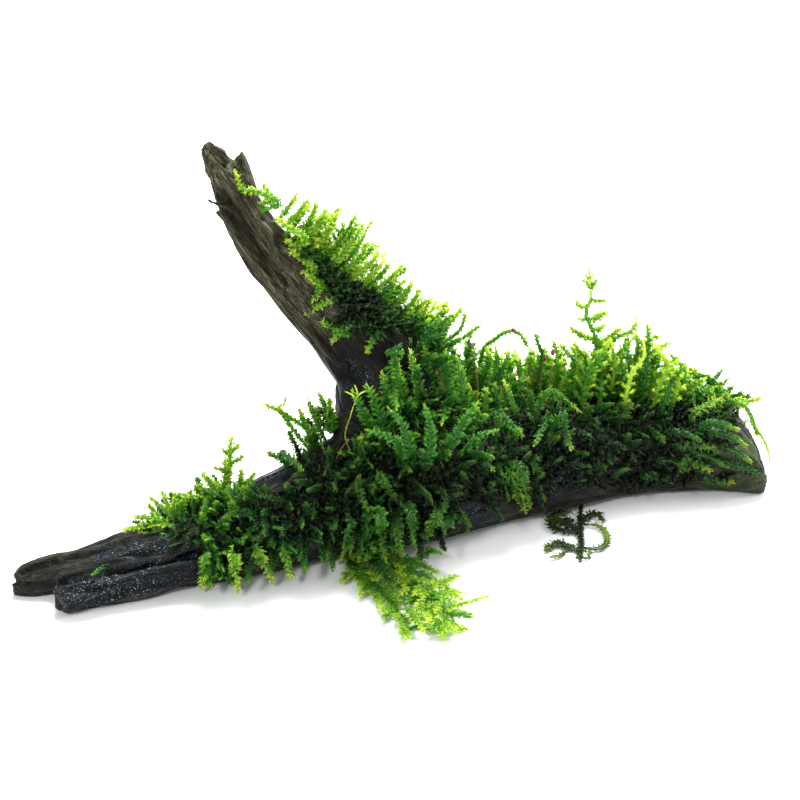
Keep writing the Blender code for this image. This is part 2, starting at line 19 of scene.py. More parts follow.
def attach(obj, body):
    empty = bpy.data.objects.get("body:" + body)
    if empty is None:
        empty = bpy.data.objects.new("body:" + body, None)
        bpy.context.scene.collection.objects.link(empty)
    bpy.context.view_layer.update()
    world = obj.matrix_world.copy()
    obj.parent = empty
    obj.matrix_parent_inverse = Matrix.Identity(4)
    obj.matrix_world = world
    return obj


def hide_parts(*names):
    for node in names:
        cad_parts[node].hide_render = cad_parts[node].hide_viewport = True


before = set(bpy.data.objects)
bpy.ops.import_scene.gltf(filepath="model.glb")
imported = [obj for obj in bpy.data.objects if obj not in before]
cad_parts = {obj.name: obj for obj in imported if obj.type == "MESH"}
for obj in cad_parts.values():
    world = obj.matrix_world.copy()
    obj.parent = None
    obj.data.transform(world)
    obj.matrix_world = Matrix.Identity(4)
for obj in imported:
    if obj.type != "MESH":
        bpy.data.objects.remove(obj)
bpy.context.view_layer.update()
MM = 0.001  # one millimetre in metres
WOOD_NODES = ("driftwood_trunk", "driftwood_left_limb", "driftwood_raised_limb")
MOSS_NODES = tuple(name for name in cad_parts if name.startswith("moss"))
scene = bpy.context.scene
print("nodes of the solid model:", len(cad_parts))

# %% [markdown]
# ## Camera
#
# The photo is taken from the front and from above, with a longer lens. The camera stands where the
# flat underside, the fork and the tips line up with it. A place in the picture, in its 800 by 800
# points, can then be turned into a line of sight, and a sprig that is seen at some place can be put
# on that line, at the depth of the wood that carries it.

# %% Camera and lines of sight
CAMERA_PLACE = Vector((-8.2, -465.13, 281.03))  # mm
CAMERA_TILT = math.radians(28)  # below level
LENS, SENSOR, PICTURE = 85.0, 36.0, 800.0

bpy.ops.object.select_all(action="DESELECT")
bpy.ops.object.camera_add(location=CAMERA_PLACE * MM, rotation=(math.pi / 2 - CAMERA_TILT, 0, 0))
camera = bpy.context.object
camera.data.lens = LENS
camera.data.sensor_width = SENSOR
camera.data.clip_start = 0.01
scene.camera = camera


def sight(u, v):
    """The direction from the camera through the place u, v of the picture."""
    across = (u - PICTURE / 2) / PICTURE * SENSOR / LENS
    down = (v - PICTURE / 2) / PICTURE * SENSOR / LENS
    ahead = Vector((0, math.cos(CAMERA_TILT), -math.sin(CAMERA_TILT)))
    up = Vector((0, math.sin(CAMERA_TILT), math.cos(CAMERA_TILT)))
    return (ahead + Vector((across, 0, 0)) - up * down).normalized()


def at_depth(u, v, y):
    """The point, in mm, that is seen at u, v and lies y mm behind the origin."""
    way = sight(u, v)
    return CAMERA_PLACE + way * ((y - CAMERA_PLACE.y) / way.y)


def at_height(u, v, z):
    """The point, in mm, that is seen at u, v and lies z mm above the floor."""
    way = sight(u, v)
    return CAMERA_PLACE + way * ((z - CAMERA_PLACE.z) / way.z)


print("the picture's middle on the floor, mm:", [round(c, 1) for c in at_height(400, 400, 0)])

# %% [markdown]
# ## Floor and light
#
# The floor is plain and nearly white. Moss leaves are one cell thick, so most of their glow is light
# that comes through them from above and behind. The studio has a broad light over the back for that,
# a softer one in front, and a pale sky that fills the shadows.

# %% Floor and lights
def linear(hex_colour):
    """An sRGB hex colour as linear red, green, blue and opacity."""
    values = [int(hex_colour[i:i + 2], 16) / 255 for i in (1, 3, 5)]
    return tuple(c / 12.92 if c <= 0.04045 else ((c + 0.055) / 1.055) ** 2.4 for c in values) + (1.0,)


def new_material(name):
    """An empty material with its output node."""
    material = bpy.data.materials.new(name)
    material.use_nodes = True
    material.node_tree.nodes.clear()
    return material


def add_node(material, kind, inputs=(), settings=(), stops=()):
    """Adds a node: inputs give sockets a value or another node's socket, stops are a ramp's colours."""
    node = material.node_tree.nodes.new("ShaderNode" + kind)
    for name, value in dict(settings).items():
        setattr(node, name, value)
    for _ in stops[2:]:  # a new ramp has two colours
        node.color_ramp.elements.new(0.5)
    for i, (place, hex_colour) in enumerate(stops):
        node.color_ramp.elements[i].position = place
        node.color_ramp.elements[i].color = linear(hex_colour)
    for socket, value in dict(inputs).items():
        if isinstance(value, bpy.types.NodeSocket):
            material.node_tree.links.new(value, node.inputs[socket])
        else:
            node.inputs[socket].default_value = value
    return node


floor_paint = new_material("matt_white_floor")
floor_shader = add_node(floor_paint, "BsdfPrincipled", {"Base Color": linear("#F6F6F4"), "Roughness": 0.7})
add_node(floor_paint, "OutputMaterial", {"Surface": floor_shader.outputs[0]})
bpy.ops.mesh.primitive_plane_add(size=8.0)
floor = bpy.context.object
floor.name = "floor"
floor.data.materials.append(floor_paint)

LIGHTS = (  # name, place, side of the square, watts
    ("light_above_and_behind", (0.1, 0.4, 0.8), 0.5, 26.0),
    ("light_in_front", (-0.35, -0.7, 0.6), 0.14, 4.0),
    ("light_at_right", (0.7, 0.0, 0.5), 0.3, 3.0),
)
for name, place, side, watts in LIGHTS:
    bpy.ops.object.light_add(type="AREA", location=place)
    light = bpy.context.object
    light.name = name
    light.data.size = side
    light.data.energy = watts
    light.rotation_euler = (Vector((0, 0, 0.03)) - Vector(place)).to_track_quat("-Z", "Y").to_euler()

world = bpy.data.worlds.new("pale_sky")
scene.world = world
world.use_nodes = True
world.node_tree.nodes["Background"].inputs["Color"].default_value = linear("#F4F7FA")
world.node_tree.nodes["Background"].inputs["Strength"].default_value = 0.75
scene.view_settings.view_transform = "Standard"
print("lights:", len(LIGHTS))

# %% [markdown]
# ## The driftwood's skin
#
# On the real piece the trunk and both limbs are one grown body. The solid model has them as three
# solids with a hair's gap between them. Here they are copied, swollen just enough to close the gap,
# joined, and covered with one even skin by the Remesh modifier. The loose sliver and the thin dead
# twig on the raised limb are drawn first as sticks, by extruding one ring again and again, and go
# into the same skin. An even skin of 0.6 mm faces can then be furrowed along the grain.

# %% Sticks by extrusion
STICK_SIDES = 8


def select_only(piece):
    """Deselects everything and makes this piece the active one."""
    bpy.ops.object.select_all(action="DESELECT")
    piece.select_set(True)
    bpy.context.view_layer.objects.active = piece


def stick(name, path, radii):
    """A tapered stick through the points of a path in mm, extruded ring by ring."""
    bpy.ops.object.select_all(action="DESELECT")
    start = Vector(path[0])
    way = Vector(path[1]) - start
    bpy.ops.mesh.primitive_circle_add(vertices=STICK_SIDES, radius=radii[0] * MM, fill_type="NGON",
                                      location=start * MM, rotation=way.to_track_quat("Z", "Y").to_euler())
    piece = bpy.context.object
    piece.name = name
    bpy.ops.object.mode_set(mode="EDIT")
    for before, here, thick, thin in zip(path, path[1:], radii, radii[1:]):
        step = (Vector(here) - Vector(before)) * MM
        bpy.ops.mesh.extrude_region_move(TRANSFORM_OT_translate={"value": step})
        ratio = thin / thick
        bpy.ops.transform.resize(value=(ratio, ratio, ratio), center_override=Vector(here) * MM)
    bpy.ops.mesh.select_all(action="SELECT")
    bpy.ops.mesh.normals_make_consistent(inside=False)
    bpy.ops.object.mode_set(mode="OBJECT")
    bpy.ops.object.transform_apply(location=True, rotation=True, scale=True)
    return piece


SLIVER_DEPTH, TWIG_DEPTH = -9.0, -8.0  # mm
SLIVER_PLACES = ((215, 211), (226, 219), (238, 243), (254, 270), (284, 305), (314, 345))
TWIG_PLACES = ((232, 212), (222, 206), (214, 203), (205, 198))
SLIVER = [at_depth(u, v, SLIVER_DEPTH) for u, v in SLIVER_PLACES]
TWIG = [at_depth(u, v, TWIG_DEPTH) for u, v in TWIG_PLACES]
sliver = stick("sliver", SLIVER, (0.5, 1.0, 1.5, 1.8, 2.0, 1.5))
dead_twig = stick("dead_twig", TWIG, (0.9, 0.6, 0.55, 0.45))
print("sliver length, mm:", round((SLIVER[-1] - SLIVER[0]).length, 1))

# %% One skin over all of the wood
MERGE = 0.01 * MM  # points closer than this are one
SWELL = 0.25 * MM  # closes the gap between the solids
VOXEL = 0.62 * MM  # size of the skin's faces


def solid_copy(node_name):
    """A copy of one solid of the model, with its loose triangles merged."""
    copy = bpy.data.objects.new(node_name + "_copy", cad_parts[node_name].data.copy())
    bpy.context.collection.objects.link(copy)
    select_only(copy)
    bpy.ops.object.mode_set(mode="EDIT")
    bpy.ops.mesh.select_all(action="SELECT")
    bpy.ops.mesh.remove_doubles(threshold=MERGE)
    bpy.ops.object.mode_set(mode="OBJECT")
    swell = copy.modifiers.new("swell", "DISPLACE")
    swell.strength = SWELL
    swell.mid_level = 0.0
    bpy.ops.object.modifier_apply(modifier="swell")
    return copy


copies = [solid_copy(name) for name in WOOD_NODES]
bpy.ops.object.select_all(action="DESELECT")
for piece in copies + [sliver, dead_twig]:
    piece.select_set(True)
driftwood = copies[0]
bpy.context.view_layer.objects.active = driftwood
bpy.ops.object.join()
driftwood.name = "driftwood"
driftwood.data.materials.clear()
skin = driftwood.modifiers.new("skin", "REMESH")
skin.mode = "VOXEL"
skin.voxel_size = VOXEL
bpy.ops.object.modifier_apply(modifier="skin")
even = driftwood.modifiers.new("even", "SMOOTH")
even.factor = 0.5
even.iterations = 3
bpy.ops.object.modifier_apply(modifier="even")
print("skin faces:", len(driftwood.data.polygons))

# %% [markdown]
# ## Furrows, cracks and pits
#
# Water has washed the soft wood out between the harder fibres, so the surface is furrowed along each
# limb. A noise that is stretched along the fibres gives that, as long as it is asked in the wood's
# own directions: along the fibres, and across them. The long crack of the split limb, its second
# groove, the pits and the ridges of the raised limb are pressed in one by one at the places where
# they are seen.

# %% Directions of the fibres
LOG_MIDDLE = np.array((  # mm, from the left tip to the right end
    (-112, -45, 9), (-75, -39, 11), (-40, -23, 13), (-10, -11, 15), (10, -3, 15),
    (30, 6, 15), (55, 16, 15), (80, 18, 14), (97, 10, 13)), float)
LIMB_FOOT = np.array((4.0, -6.0, 26.0))
LIMB_TIP = np.array((-53.0, -7.0, 108.0))
BLEND_FROM, BLEND_OVER = 24.0, 12.0  # mm: height where, and over which, the limb's directions take over
BLEND_SLOPE = 0.4  # mm that they start higher for each mm to the right of the fork


def read_vectors(items, name):
    """Three numbers of each item, as an array."""
    values = np.empty(len(items) * 3)
    items.foreach_get(name, values)
    return values.reshape(-1, 3)


def read_points(mesh):
    """A mesh's points in mm, as an array."""
    return read_vectors(mesh.vertices, "co") / MM


def eased(values):
    """Values below 0 become 0, above 1 become 1, and between them they ease in and out."""
    held = np.clip(values, 0, 1)
    return held * held * (3 - 2 * held)


def log_middle(x, k):
    """Coordinate k of the log's middle line at x, in mm."""
    return np.interp(x, LOG_MIDDLE[:, 0], LOG_MIDDLE[:, k])


def fibre_places(points):
    """Where points lie along the fibres, and across them in two directions, in mm."""
    log = points - np.column_stack([log_middle(points[:, 0], k) for k in range(3)])
    log[:, 0] = points[:, 0]
    way = (LIMB_TIP - LIMB_FOOT) / np.linalg.norm(LIMB_TIP - LIMB_FOOT)
    side = np.cross(way, (0, 1, 0))
    from_foot = points - LIMB_FOOT
    limb = np.column_stack((from_foot @ way, from_foot[:, 1], from_foot @ side))
    from_right = np.maximum(points[:, 0] - 2, 0)
    share = eased((points[:, 2] - BLEND_FROM - BLEND_SLOPE * from_right) / BLEND_OVER)[:, None]
    return log * (1 - share) + limb * share


points = read_points(driftwood.data)
places = fibre_places(points)
print("along the fibres, mm:", places[:, 0].min().round(), "to", places[:, 0].max().round())

# %% Weathered relief
FURROW_DEPTH, FURROW_WIDTH = 1.1, 0.13  # mm, and share of the noise's range
FIBRE_HEIGHT, LUMP_HEIGHT = 0.35, 0.7  # mm
FURROWS, FIBRES, LUMPS = (0.02, 0.21), (0.06, 0.85), (0.04, 0.09)  # per mm: along the fibres, across them


def stretched_noise(place, scale, shift=0.0):
    """A noise that is stretched along the fibres, from -1 to 1."""
    along, side, up = place
    return noise.noise((along * scale[0] + shift, side * scale[1], up * scale[1]))


def weathering(place):
    """How far the surface stands out at a place of the wood, in mm."""
    furrow = stretched_noise(place, FURROWS)
    fibre = stretched_noise(place, FIBRES, 40)
    lump = stretched_noise(place, LUMPS, 80)
    return LUMP_HEIGHT * lump + FIBRE_HEIGHT * fibre - FURROW_DEPTH * math.exp(-(furrow / FURROW_WIDTH) ** 2)


def point_normals(mesh):
    """The normal at each point of a mesh, as an array."""
    return read_vectors(mesh.vertex_normals, "vector")


def write_points(mesh, moved):
    """Puts points in mm back into a mesh."""
    mesh.vertices.foreach_set("co", (moved * MM).ravel())
    mesh.update()


relief = np.array([weathering(place) for place in places])
points += point_normals(driftwood.data) * relief[:, None]
write_points(driftwood.data, points)
print("relief, mm:", relief.min().round(2), "to", relief.max().round(2))

# %% Cracks, pits and ridges
POINT_SIZE = 0.27  # mm of the object for one point of the picture
LINE_STEP = 0.6  # mm between the places of a mark
MARK_REACH = 4  # mm round a mark in which points are moved


def tree_of(mesh):
    """A search tree of a mesh, in metres."""
    mesh.calc_loop_triangles()
    corners = [tuple(t.vertices) for t in mesh.loop_triangles]
    return BVHTree.FromPolygons([v.co for v in mesh.vertices], corners)


def seen_on(tree, u, v):
    """The point and the normal that the camera sees at u, v, in mm, or None where it sees nothing."""
    hit, normal, _, _ = tree.ray_cast(CAMERA_PLACE * MM, sight(u, v))
    return (hit / MM, normal) if hit else None


def spread_line(tree, corners):
    """Points on the surface, close together, along a line of places in the picture."""
    found = []
    for (u0, v0), (u1, v1) in zip(corners, corners[1:] or corners):
        count = max(1, int(math.hypot(u1 - u0, v1 - v0) * POINT_SIZE / LINE_STEP))
        for i in range(count + 1):
            spot = seen_on(tree, u0 + (u1 - u0) * i / count, v0 + (v1 - v0) * i / count)
            if spot:
                found.append(spot[0])
    return np.array(found)


Mark = namedtuple("Mark", "corners width depth")  # a depth below 0 is a ridge
MARKS = (
    Mark(((54, 584), (103, 575), (134, 566), (184, 556), (205, 553)), 0.9, 3.6),  # the long crack
    Mark(((21, 573), (52, 563), (86, 554), (122, 543)), 0.8, 1.6),  # groove of the back plank
    Mark(((53, 600), (120, 585), (190, 567)), 0.7, 0.8),  # groove of the front plank
    Mark(((281, 239), (284, 250)), 1.7, 3.0),  # large pit of the raised limb
    Mark(((265, 218),), 1.0, 1.6),  # small pit
    Mark(((222, 152), (230, 172), (236, 190)), 0.9, -1.1),  # light ridge at the tip
    Mark(((233, 168), (246, 200), (266, 236)), 0.7, 1.2),  # grooves down the raised limb
    Mark(((222, 190), (250, 232), (284, 280)), 0.7, 1.2),
    Mark(((262, 262), (300, 310), (330, 350)), 0.8, 1.3),
    Mark(((300, 270), (330, 320), (352, 372)), 0.7, 1.0),
    Mark(((331, 305), (350, 308), (371, 305)), 1.6, -1.2),  # ledge
    Mark(((640, 486), (700, 478), (758, 470)), 0.6, 0.9),  # low grooves of the right end
    Mark(((690, 489), (761, 483)), 0.6, 0.8),
)
wood_tree = tree_of(driftwood.data)
normals = point_normals(driftwood.data)
for mark in MARKS:
    line = spread_line(wood_tree, mark.corners)
    near = np.all((points > line.min(0) - MARK_REACH) & (points < line.max(0) + MARK_REACH), axis=1)
    apart = np.min(np.linalg.norm(points[near][:, None] - line[None], axis=2), axis=1)
    points[near] -= normals[near] * (mark.depth * np.exp(-(apart / mark.width) ** 2))[:, None]
points[:, 2] = np.maximum(points[:, 2], 0)
write_points(driftwood.data, points)
print("marks pressed in:", len(MARKS))

# %% [markdown]
# ## Damp, dark wood
#
# Waterlogged driftwood is nearly black. Its fibres are warm grey-brown where they have dried and
# blue-black where a film of water lies on them, and there the sparks of light on the water are painted
# in as pale specks. Each point of the skin stores its place along and across the fibres, so the streaks
# of colour follow each limb, and how wet, reddish and green with algae it is, and where painted shade
# darkens waterlogged wood. The colours lie over each other in layers, from the painted shade of small
# pits at the bottom to the painted highlights on the water at the top. A water film is a coat: smooth,
# clear and slightly uneven.

# %% Where the wood is wet, reddish or green, and where painted shade lies on waterlogged wood
WET = (  # place in the picture, and radius in mm
    (75, 592, 13), (110, 587, 13), (150, 580, 13), (190, 572, 13), (104, 556, 7), (130, 550, 8), (158, 545, 7),
    (350, 366, 5), (364, 376, 5), (347, 386, 4), (325, 556, 10), (380, 520, 14), (480, 515, 14), (560, 480, 14),
    (695, 391, 6), (265, 476, 8), (284, 468, 8), (430, 540, 12))
REDDISH = ((283, 233, 4), (300, 262, 3))
GREEN = ((700, 400, 8), (745, 455, 14), (715, 485, 12), (752, 478, 10))
SOAKED_AND_SHADED = (  # nearly black: painted shade over waterlogged wood
    (352, 346, 10), (370, 350, 10), (388, 346, 10), (350, 385, 10), (365, 335, 8), (262, 480, 10),
    (278, 472, 10), (292, 466, 9))
DAMP, DRY_FROM, DRY_OVER = 0.65, 76.0, 34.0  # the low wood is damp; above this height, in mm, it has dried
ALGAE_DRY = 0.6  # share of the film of water that algae lack


def wood_at(u, v):
    """The point of the wood that is seen at u, v, in mm, or None."""
    spot = seen_on(wood_tree, u, v)
    return spot[0] if spot else None


def spots_of(places, seen):
    """Places of the picture as points in mm with their radius, where the camera sees something there."""
    found = [(seen(u, v), radius) for u, v, radius in places]
    return [(np.array(spot), radius) for spot, radius in found if spot is not None]


def patch_share(patches, where):
    """How much each point lies in any of the patches, 0 to 1."""
    share = np.zeros(len(where))
    for spot, radius in spots_of(patches, wood_at):
        apart = np.linalg.norm(where - spot, axis=1)
        share = np.maximum(share, eased(1.4 * (1 - apart / radius)))
    return share


def store(mesh, name, values):
    """Keeps three numbers for each point of a mesh."""
    mesh.attributes.new(name, "FLOAT_VECTOR", "POINT").data.foreach_set("vector", values.ravel())


wood_tree = tree_of(driftwood.data)
patches = np.column_stack([patch_share(kind, points) for kind in (WET, REDDISH, GREEN)])
patches[:, 0] = np.maximum(patches[:, 0], DAMP * eased((DRY_FROM - points[:, 2]) / DRY_OVER))
patches[:, 0] *= 1 - ALGAE_DRY * patches[:, 2]
store(driftwood.data, "fibre", places)
store(driftwood.data, "patches", patches)
# where painted shade darkens waterlogged wood to nearly black
store(driftwood.data, "soak_and_shade", np.repeat(patch_share(SOAKED_AND_SHADED, points), 3))
print("wet share of the wood:", patches[:, 0].mean().round(2))

# %% Helpers for layered colours
def stored(material, name):
    """The output of three numbers that each point of a mesh keeps."""
    return add_node(material, "Attribute", settings={"attribute_name": name}).outputs["Vector"]


def total(material, first, second, operation="ADD"):
    """The output of a sum, or of another operation on two numbers."""
    return add_node(material, "Math", {0: first, 1: second}, {"operation": operation}).outputs[0]


def mapped(material, value, start, end, low=0.0, high=1.0):
    """The output of a value that is carried from one range into another."""
    return add_node(material, "MapRange", {0: value, 1: start, 2: end, 3: low, 4: high}).outputs[0]


def over(material, below, share, colour, blend="MIX"):
    """The output of a share of one colour laid over another."""
    settings = {"data_type": "RGBA", "blend_type": blend}
    return add_node(material, "Mix", {0: share, 6: below, 7: colour}, settings).outputs[2]


def fibre_noise(scale, detail, roughness=0.5):
    """The output of a noise in the wood's own directions."""
    place = add_node(wet_wood, "VectorMath", {0: fibre, 1: scale}, {"operation": "MULTIPLY"})
    values = {"Vector": place.outputs[0], "Scale": 1.0, "Detail": detail, "Roughness": roughness}
    return add_node(wet_wood, "TexNoise", values).outputs[0]


print("helpers for layered colours:", ", ".join(f.__name__ for f in (stored, total, mapped, over, fibre_noise)))

# %% Waterlogged driftwood
FIBRE_SCALE = (0.12, 2.0, 2.0)  # per mm: streaks of about 0.5 mm across and 8 mm along
STAIN_SCALE = (0.03, 0.16, 0.16)  # per mm: stains of about 6 mm across and 33 mm along
GRIT_SCALE = (2.4, 2.8, 2.8)  # per mm: 0.4 mm specks: painted pit shade, painted highlights, film bumps

wet_wood = new_material("waterlogged_driftwood")
fibre = stored(wet_wood, "fibre")
wet, reddish, green = add_node(wet_wood, "SeparateXYZ", {0: stored(wet_wood, "patches")}).outputs
streaks = fibre_noise(FIBRE_SCALE, 7.0, 0.7)
stains = fibre_noise(STAIN_SCALE, 3.0)
grit = fibre_noise(GRIT_SCALE, 2.0)
streak_colour = add_node(wet_wood, "ValToRGB", {0: streaks}, stops=(
    (0.36, "#1B1A14"), (0.47, "#333226"), (0.55, "#4E4C3C"), (0.66, "#706C56")))
stain_colour = add_node(wet_wood, "ValToRGB", {0: stains}, stops=((0.35, "#8E8C86"), (0.55, "#FFFFFF")))
uneven = mapped(wet_wood, stains, 0.42, 0.58, 0.25, 1.0)
# where the painted highlights of the water film may lie: on wet wood, unevenly
painted_glint_reach = total(wet_wood, mapped(wet_wood, wet, DAMP * 0.9, 1.0, 0.0, 0.8), uneven, "MULTIPLY")
LAYERS = (  # over the stained fibres, from the bottom up: how much of a layer, and its colour
    (mapped(wet_wood, grit, 0.42, 0.34, 0.0, 0.75), "#12110D"),  # painted shade of small pits
    # nearly black where painted shade lies over waterlogged wood
    (total(wet_wood, stored(wet_wood, "soak_and_shade"), 0.8, "MULTIPLY"), "#0E0D0A"),  # painted shade
    (reddish, "#362C22"),
    (total(wet_wood, green, uneven, "MULTIPLY"), "#414D33"),  # algae
    (wet, "#0B0E11"),
    (total(wet_wood, mapped(wet_wood, grit, 0.6, 0.68), painted_glint_reach, "MULTIPLY"), "#84929E"),  # painted highlights: pale specks for the light on the water film
)
colour = over(wet_wood, streak_colour.outputs[0], 1.0, stain_colour.outputs[0], "MULTIPLY")
for share, hex_colour in LAYERS:
    colour = over(wet_wood, colour, share, linear(hex_colour))
grain_bump = add_node(wet_wood, "Bump", {"Strength": 0.7, "Distance": 0.25 * MM, "Height": streaks})
film_bump = add_node(wet_wood, "Bump", {
    "Strength": 1.0, "Distance": 0.6 * MM, "Height": grit, "Normal": grain_bump.outputs[0]})
wood_shader = add_node(wet_wood, "BsdfPrincipled", {
    "Base Color": colour, "Roughness": mapped(wet_wood, wet, 0.0, 1.0, 0.62, 0.3),
    "Normal": grain_bump.outputs[0], "Specular IOR Level": 0.05,
    "Coat Weight": mapped(wet_wood, wet, DAMP, 1.0, 0.0, 0.25), "Coat Roughness": 0.04, "Coat IOR": 1.33,
    "Coat Normal": film_bump.outputs[0]})
add_node(wet_wood, "OutputMaterial", {"Surface": wood_shader.outputs[0]})
print("layers of colour over the fibres:", len(LAYERS))

# %% Give the wood its material
driftwood.data.materials.append(wet_wood)
select_only(driftwood)
bpy.ops.object.shade_smooth()
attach(driftwood, "root")
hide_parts(*WOOD_NODES)
print("wood nodes in the material:", len(wet_wood.node_tree.nodes))

# %% [markdown]
# ## One leaf
#
# A leaf of java moss is a pointed blade of about 1.0 by 0.5 mm, slightly folded along its middle. It
# is modelled once: a cone with three sides is a closed body of four faces. Flattened, and with one
# corner of its base drawn back to where it sits on the stem, it becomes a folded kite. All leaves of
# the moss are copies of it.

# %% Model the leaf
LEAF_LENGTH, LEAF_WIDTH, LEAF_FOLD = 1.02, 0.5, 0.1
LEAF_WIDEST = 0.38  # share of the length from the stem to the widest place


def move_points(piece, chosen, step):
    """Moves the points of a piece that have the chosen numbers."""
    bpy.ops.object.mode_set(mode="EDIT")
    bpy.ops.mesh.select_mode(type="VERT")
    bpy.ops.mesh.select_all(action="DESELECT")
    bpy.ops.object.mode_set(mode="OBJECT")
    for index in chosen:
        piece.data.vertices[index].select = True
    bpy.ops.object.mode_set(mode="EDIT")
    bpy.ops.transform.translate(value=step)
    bpy.ops.object.mode_set(mode="OBJECT")


bpy.ops.object.select_all(action="DESELECT")
bpy.ops.mesh.primitive_cone_add(vertices=3, radius1=1.0, depth=1.0, rotation=(0, math.pi / 2, 0))
leaf = bpy.context.object
leaf.name = "leaf_pattern"
bpy.ops.object.transform_apply(location=True, rotation=True, scale=True)
keel = min(leaf.data.vertices, key=lambda p: (round(p.co.x, 3), abs(p.co.y))).index
move_points(leaf, (keel,), (-LEAF_WIDEST / (1 - LEAF_WIDEST), 0, 0))

leaf_points = read_points(leaf.data) * MM
leaf_points -= (leaf_points[keel][0], 0, leaf_points[:, 2].min())
leaf_points *= np.array((LEAF_LENGTH, LEAF_WIDTH, LEAF_FOLD)) / np.ptp(leaf_points, axis=0)
leaf_faces = np.array([tuple(face.vertices) for face in leaf.data.polygons])
leaf_youth = leaf_points[:, 0] / LEAF_LENGTH
bpy.data.objects.remove(leaf)
print("leaf corners, mm:", leaf_points.round(2).tolist())

# %% [markdown]
# ## Leafy stems and fronds
#
# Java moss grows as flat fronds: a main stem, and side stems that leave it left and right at about
# 50 degrees, longest below the middle. Every stem is wrapped in leaves, most of them spread left and
# right, so it looks like a soft ribbon 2 mm wide with a blunt end. The youngest leaves are at the
# ends, and they are the lightest. A frond is built straight, from arrays of leaf copies, and is bent
# afterwards. There are three kinds of pattern: wide fronds, close and narrow ones, and feathers, which
# are single stems with long leaves. With seven lengths of each they are enough, because each copy is
# bent and turned in its own way.

# %% A leafy stem
LEAF_STEP = 0.25  # mm of stem for each leaf
SHORT_LEAF_STEP = 0.38  # mm, in the dark short shoots
STEM_STEP = 2.2  # mm between the rings of a stem
BLUNT_FROM = 0.9  # share of a stem's length where its blunt tip starts
BODY_WIDTH, BODY_THICKNESS = 1.0, 0.36  # mm of the overlapping leaf bases round a stem
LEAF_SIDES = np.radians((12, 170, -16, 192, 24, 160, -8, 200))  # round the stem: mostly left and right
LEAF_ANGLE, TIP_CLOSING = 54, 34  # degrees from the stem, and how much less at its tip
draw = np.random.default_rng(11)
Twig = namedtuple("Twig", "points faces youth length")


def stem_rings(length, width, thickness, sides=4, root=0.6, end=0.7):
    """A thin body with a blunt tip, as points and faces."""
    count = max(2, 1 + round(length / STEM_STEP))
    angles = np.arange(sides) * math.tau / sides
    places = []
    for share in np.linspace(0, BLUNT_FROM, count):
        size = (root + (1 - root) * math.sin(math.pi / 2 * min(1, 2 * share))) * (1 - (1 - end) * share ** 3)
        for a in angles:
            places.append((length * share, size * width / 2 * math.cos(a), size * thickness / 2 * math.sin(a)))
    places.append((length, 0, 0))
    faces = [(0, j + 1, j) for j in range(1, sides - 1)]
    for i in range(count - 1):
        for j in range(sides):
            a, b = sides * i + j, sides * i + (j + 1) % sides
            faces += [(a, b, b + sides), (a, b + sides, a + sides)]
    last = sides * (count - 1)
    faces += [(last + j, last + (j + 1) % sides, sides * count) for j in range(sides)]
    return np.array(places, float), np.array(faces)


def leafy_stem(length, leaf_size=1.0, young_from=0.35, step=LEAF_STEP, body=1.0):
    """A straight leafy stem along x, with its leaves mostly left and right."""
    count = max(4, round(length / step))
    share = (np.arange(count) + draw.uniform(0.1, 0.9, count)) / count
    swell = 0.5 * np.sin(np.pi * np.clip(share * 0.8 + 0.12, 0, 1))
    size = leaf_size * (0.72 + swell * 0.7) * draw.uniform(0.85, 1.12, count)
    spread = np.radians(LEAF_ANGLE - TIP_CLOSING * share ** 3 + draw.normal(0, 6, count))
    turn = LEAF_SIDES[np.arange(count) % len(LEAF_SIDES)] + draw.normal(0, 0.2, count)
    roll = draw.normal(0, 0.5, count)
    zero = np.zeros(count)
    outward = np.column_stack((zero, np.cos(turn), np.sin(turn)))
    forward = np.array((1.0, 0, 0))
    way = np.cos(spread)[:, None] * forward + np.sin(spread)[:, None] * outward
    blade = -np.sin(spread)[:, None] * forward + np.cos(spread)[:, None] * outward
    top = np.cross(way, blade)
    across = blade * np.cos(roll)[:, None] + top * np.sin(roll)[:, None]
    back = top * np.cos(roll)[:, None] - blade * np.sin(roll)[:, None]
    local = leaf_points[None] * size[:, None, None]
    places = (np.column_stack((share * length, zero, zero))[:, None] + local[:, :, :1] * way[:, None]
              + local[:, :, 1:2] * across[:, None] + local[:, :, 2:] * back[:, None])
    faces = leaf_faces[None] + (np.arange(count) * len(leaf_points))[:, None, None]
    youth = eased((share[:, None] - young_from) / (1 - young_from)) * 0.85
    youth = youth + 0.13 * leaf_youth[None] * (0.3 + share[:, None])
    stem_places, stem_faces = stem_rings(length, BODY_WIDTH * body, BODY_THICKNESS * body)
    stem_youth = eased((stem_places[:, 0] / length - young_from) / (1 - young_from)) * 0.7
    return Twig(np.concatenate((places.reshape(-1, 3), stem_places)),
                np.concatenate((faces.reshape(-1, 3), stem_faces + count * len(leaf_points))),
                np.concatenate((youth.ravel(), stem_youth)), length)


trial = leafy_stem(4.0)
print("faces of a 4 mm leafy stem:", len(trial.faces))

# %% A frond
SIDE_STEP = 1.5  # mm of main stem for each side stem
CLOSE_SIDE_STEP = 0.7  # mm, on the fern-like fronds that stand out
SIDE_ANGLE = 52  # degrees between the main stem and a side stem
WIDEST_AT = 0.35  # share of the length where the side stems are longest


def turned(points, roll, yaw, lift):
    """Points rolled about x, lifted out of the flat and then swung round z."""
    for angle, a, b in ((roll, 1, 2), (lift, 0, 2), (yaw, 0, 1)):
        cos, sin = math.cos(angle), math.sin(angle)
        points = points.copy()
        first, second = points[:, a].copy(), points[:, b].copy()
        points[:, a], points[:, b] = cos * first - sin * second, sin * first + cos * second
    return points


def joined(twigs, length):
    """Several twigs as one."""
    offsets = np.cumsum([0] + [len(t.points) for t in twigs[:-1]])
    return Twig(np.concatenate([t.points for t in twigs]),
                np.concatenate([t.faces + o for t, o in zip(twigs, offsets)]),
                np.concatenate([t.youth for t in twigs]), length)


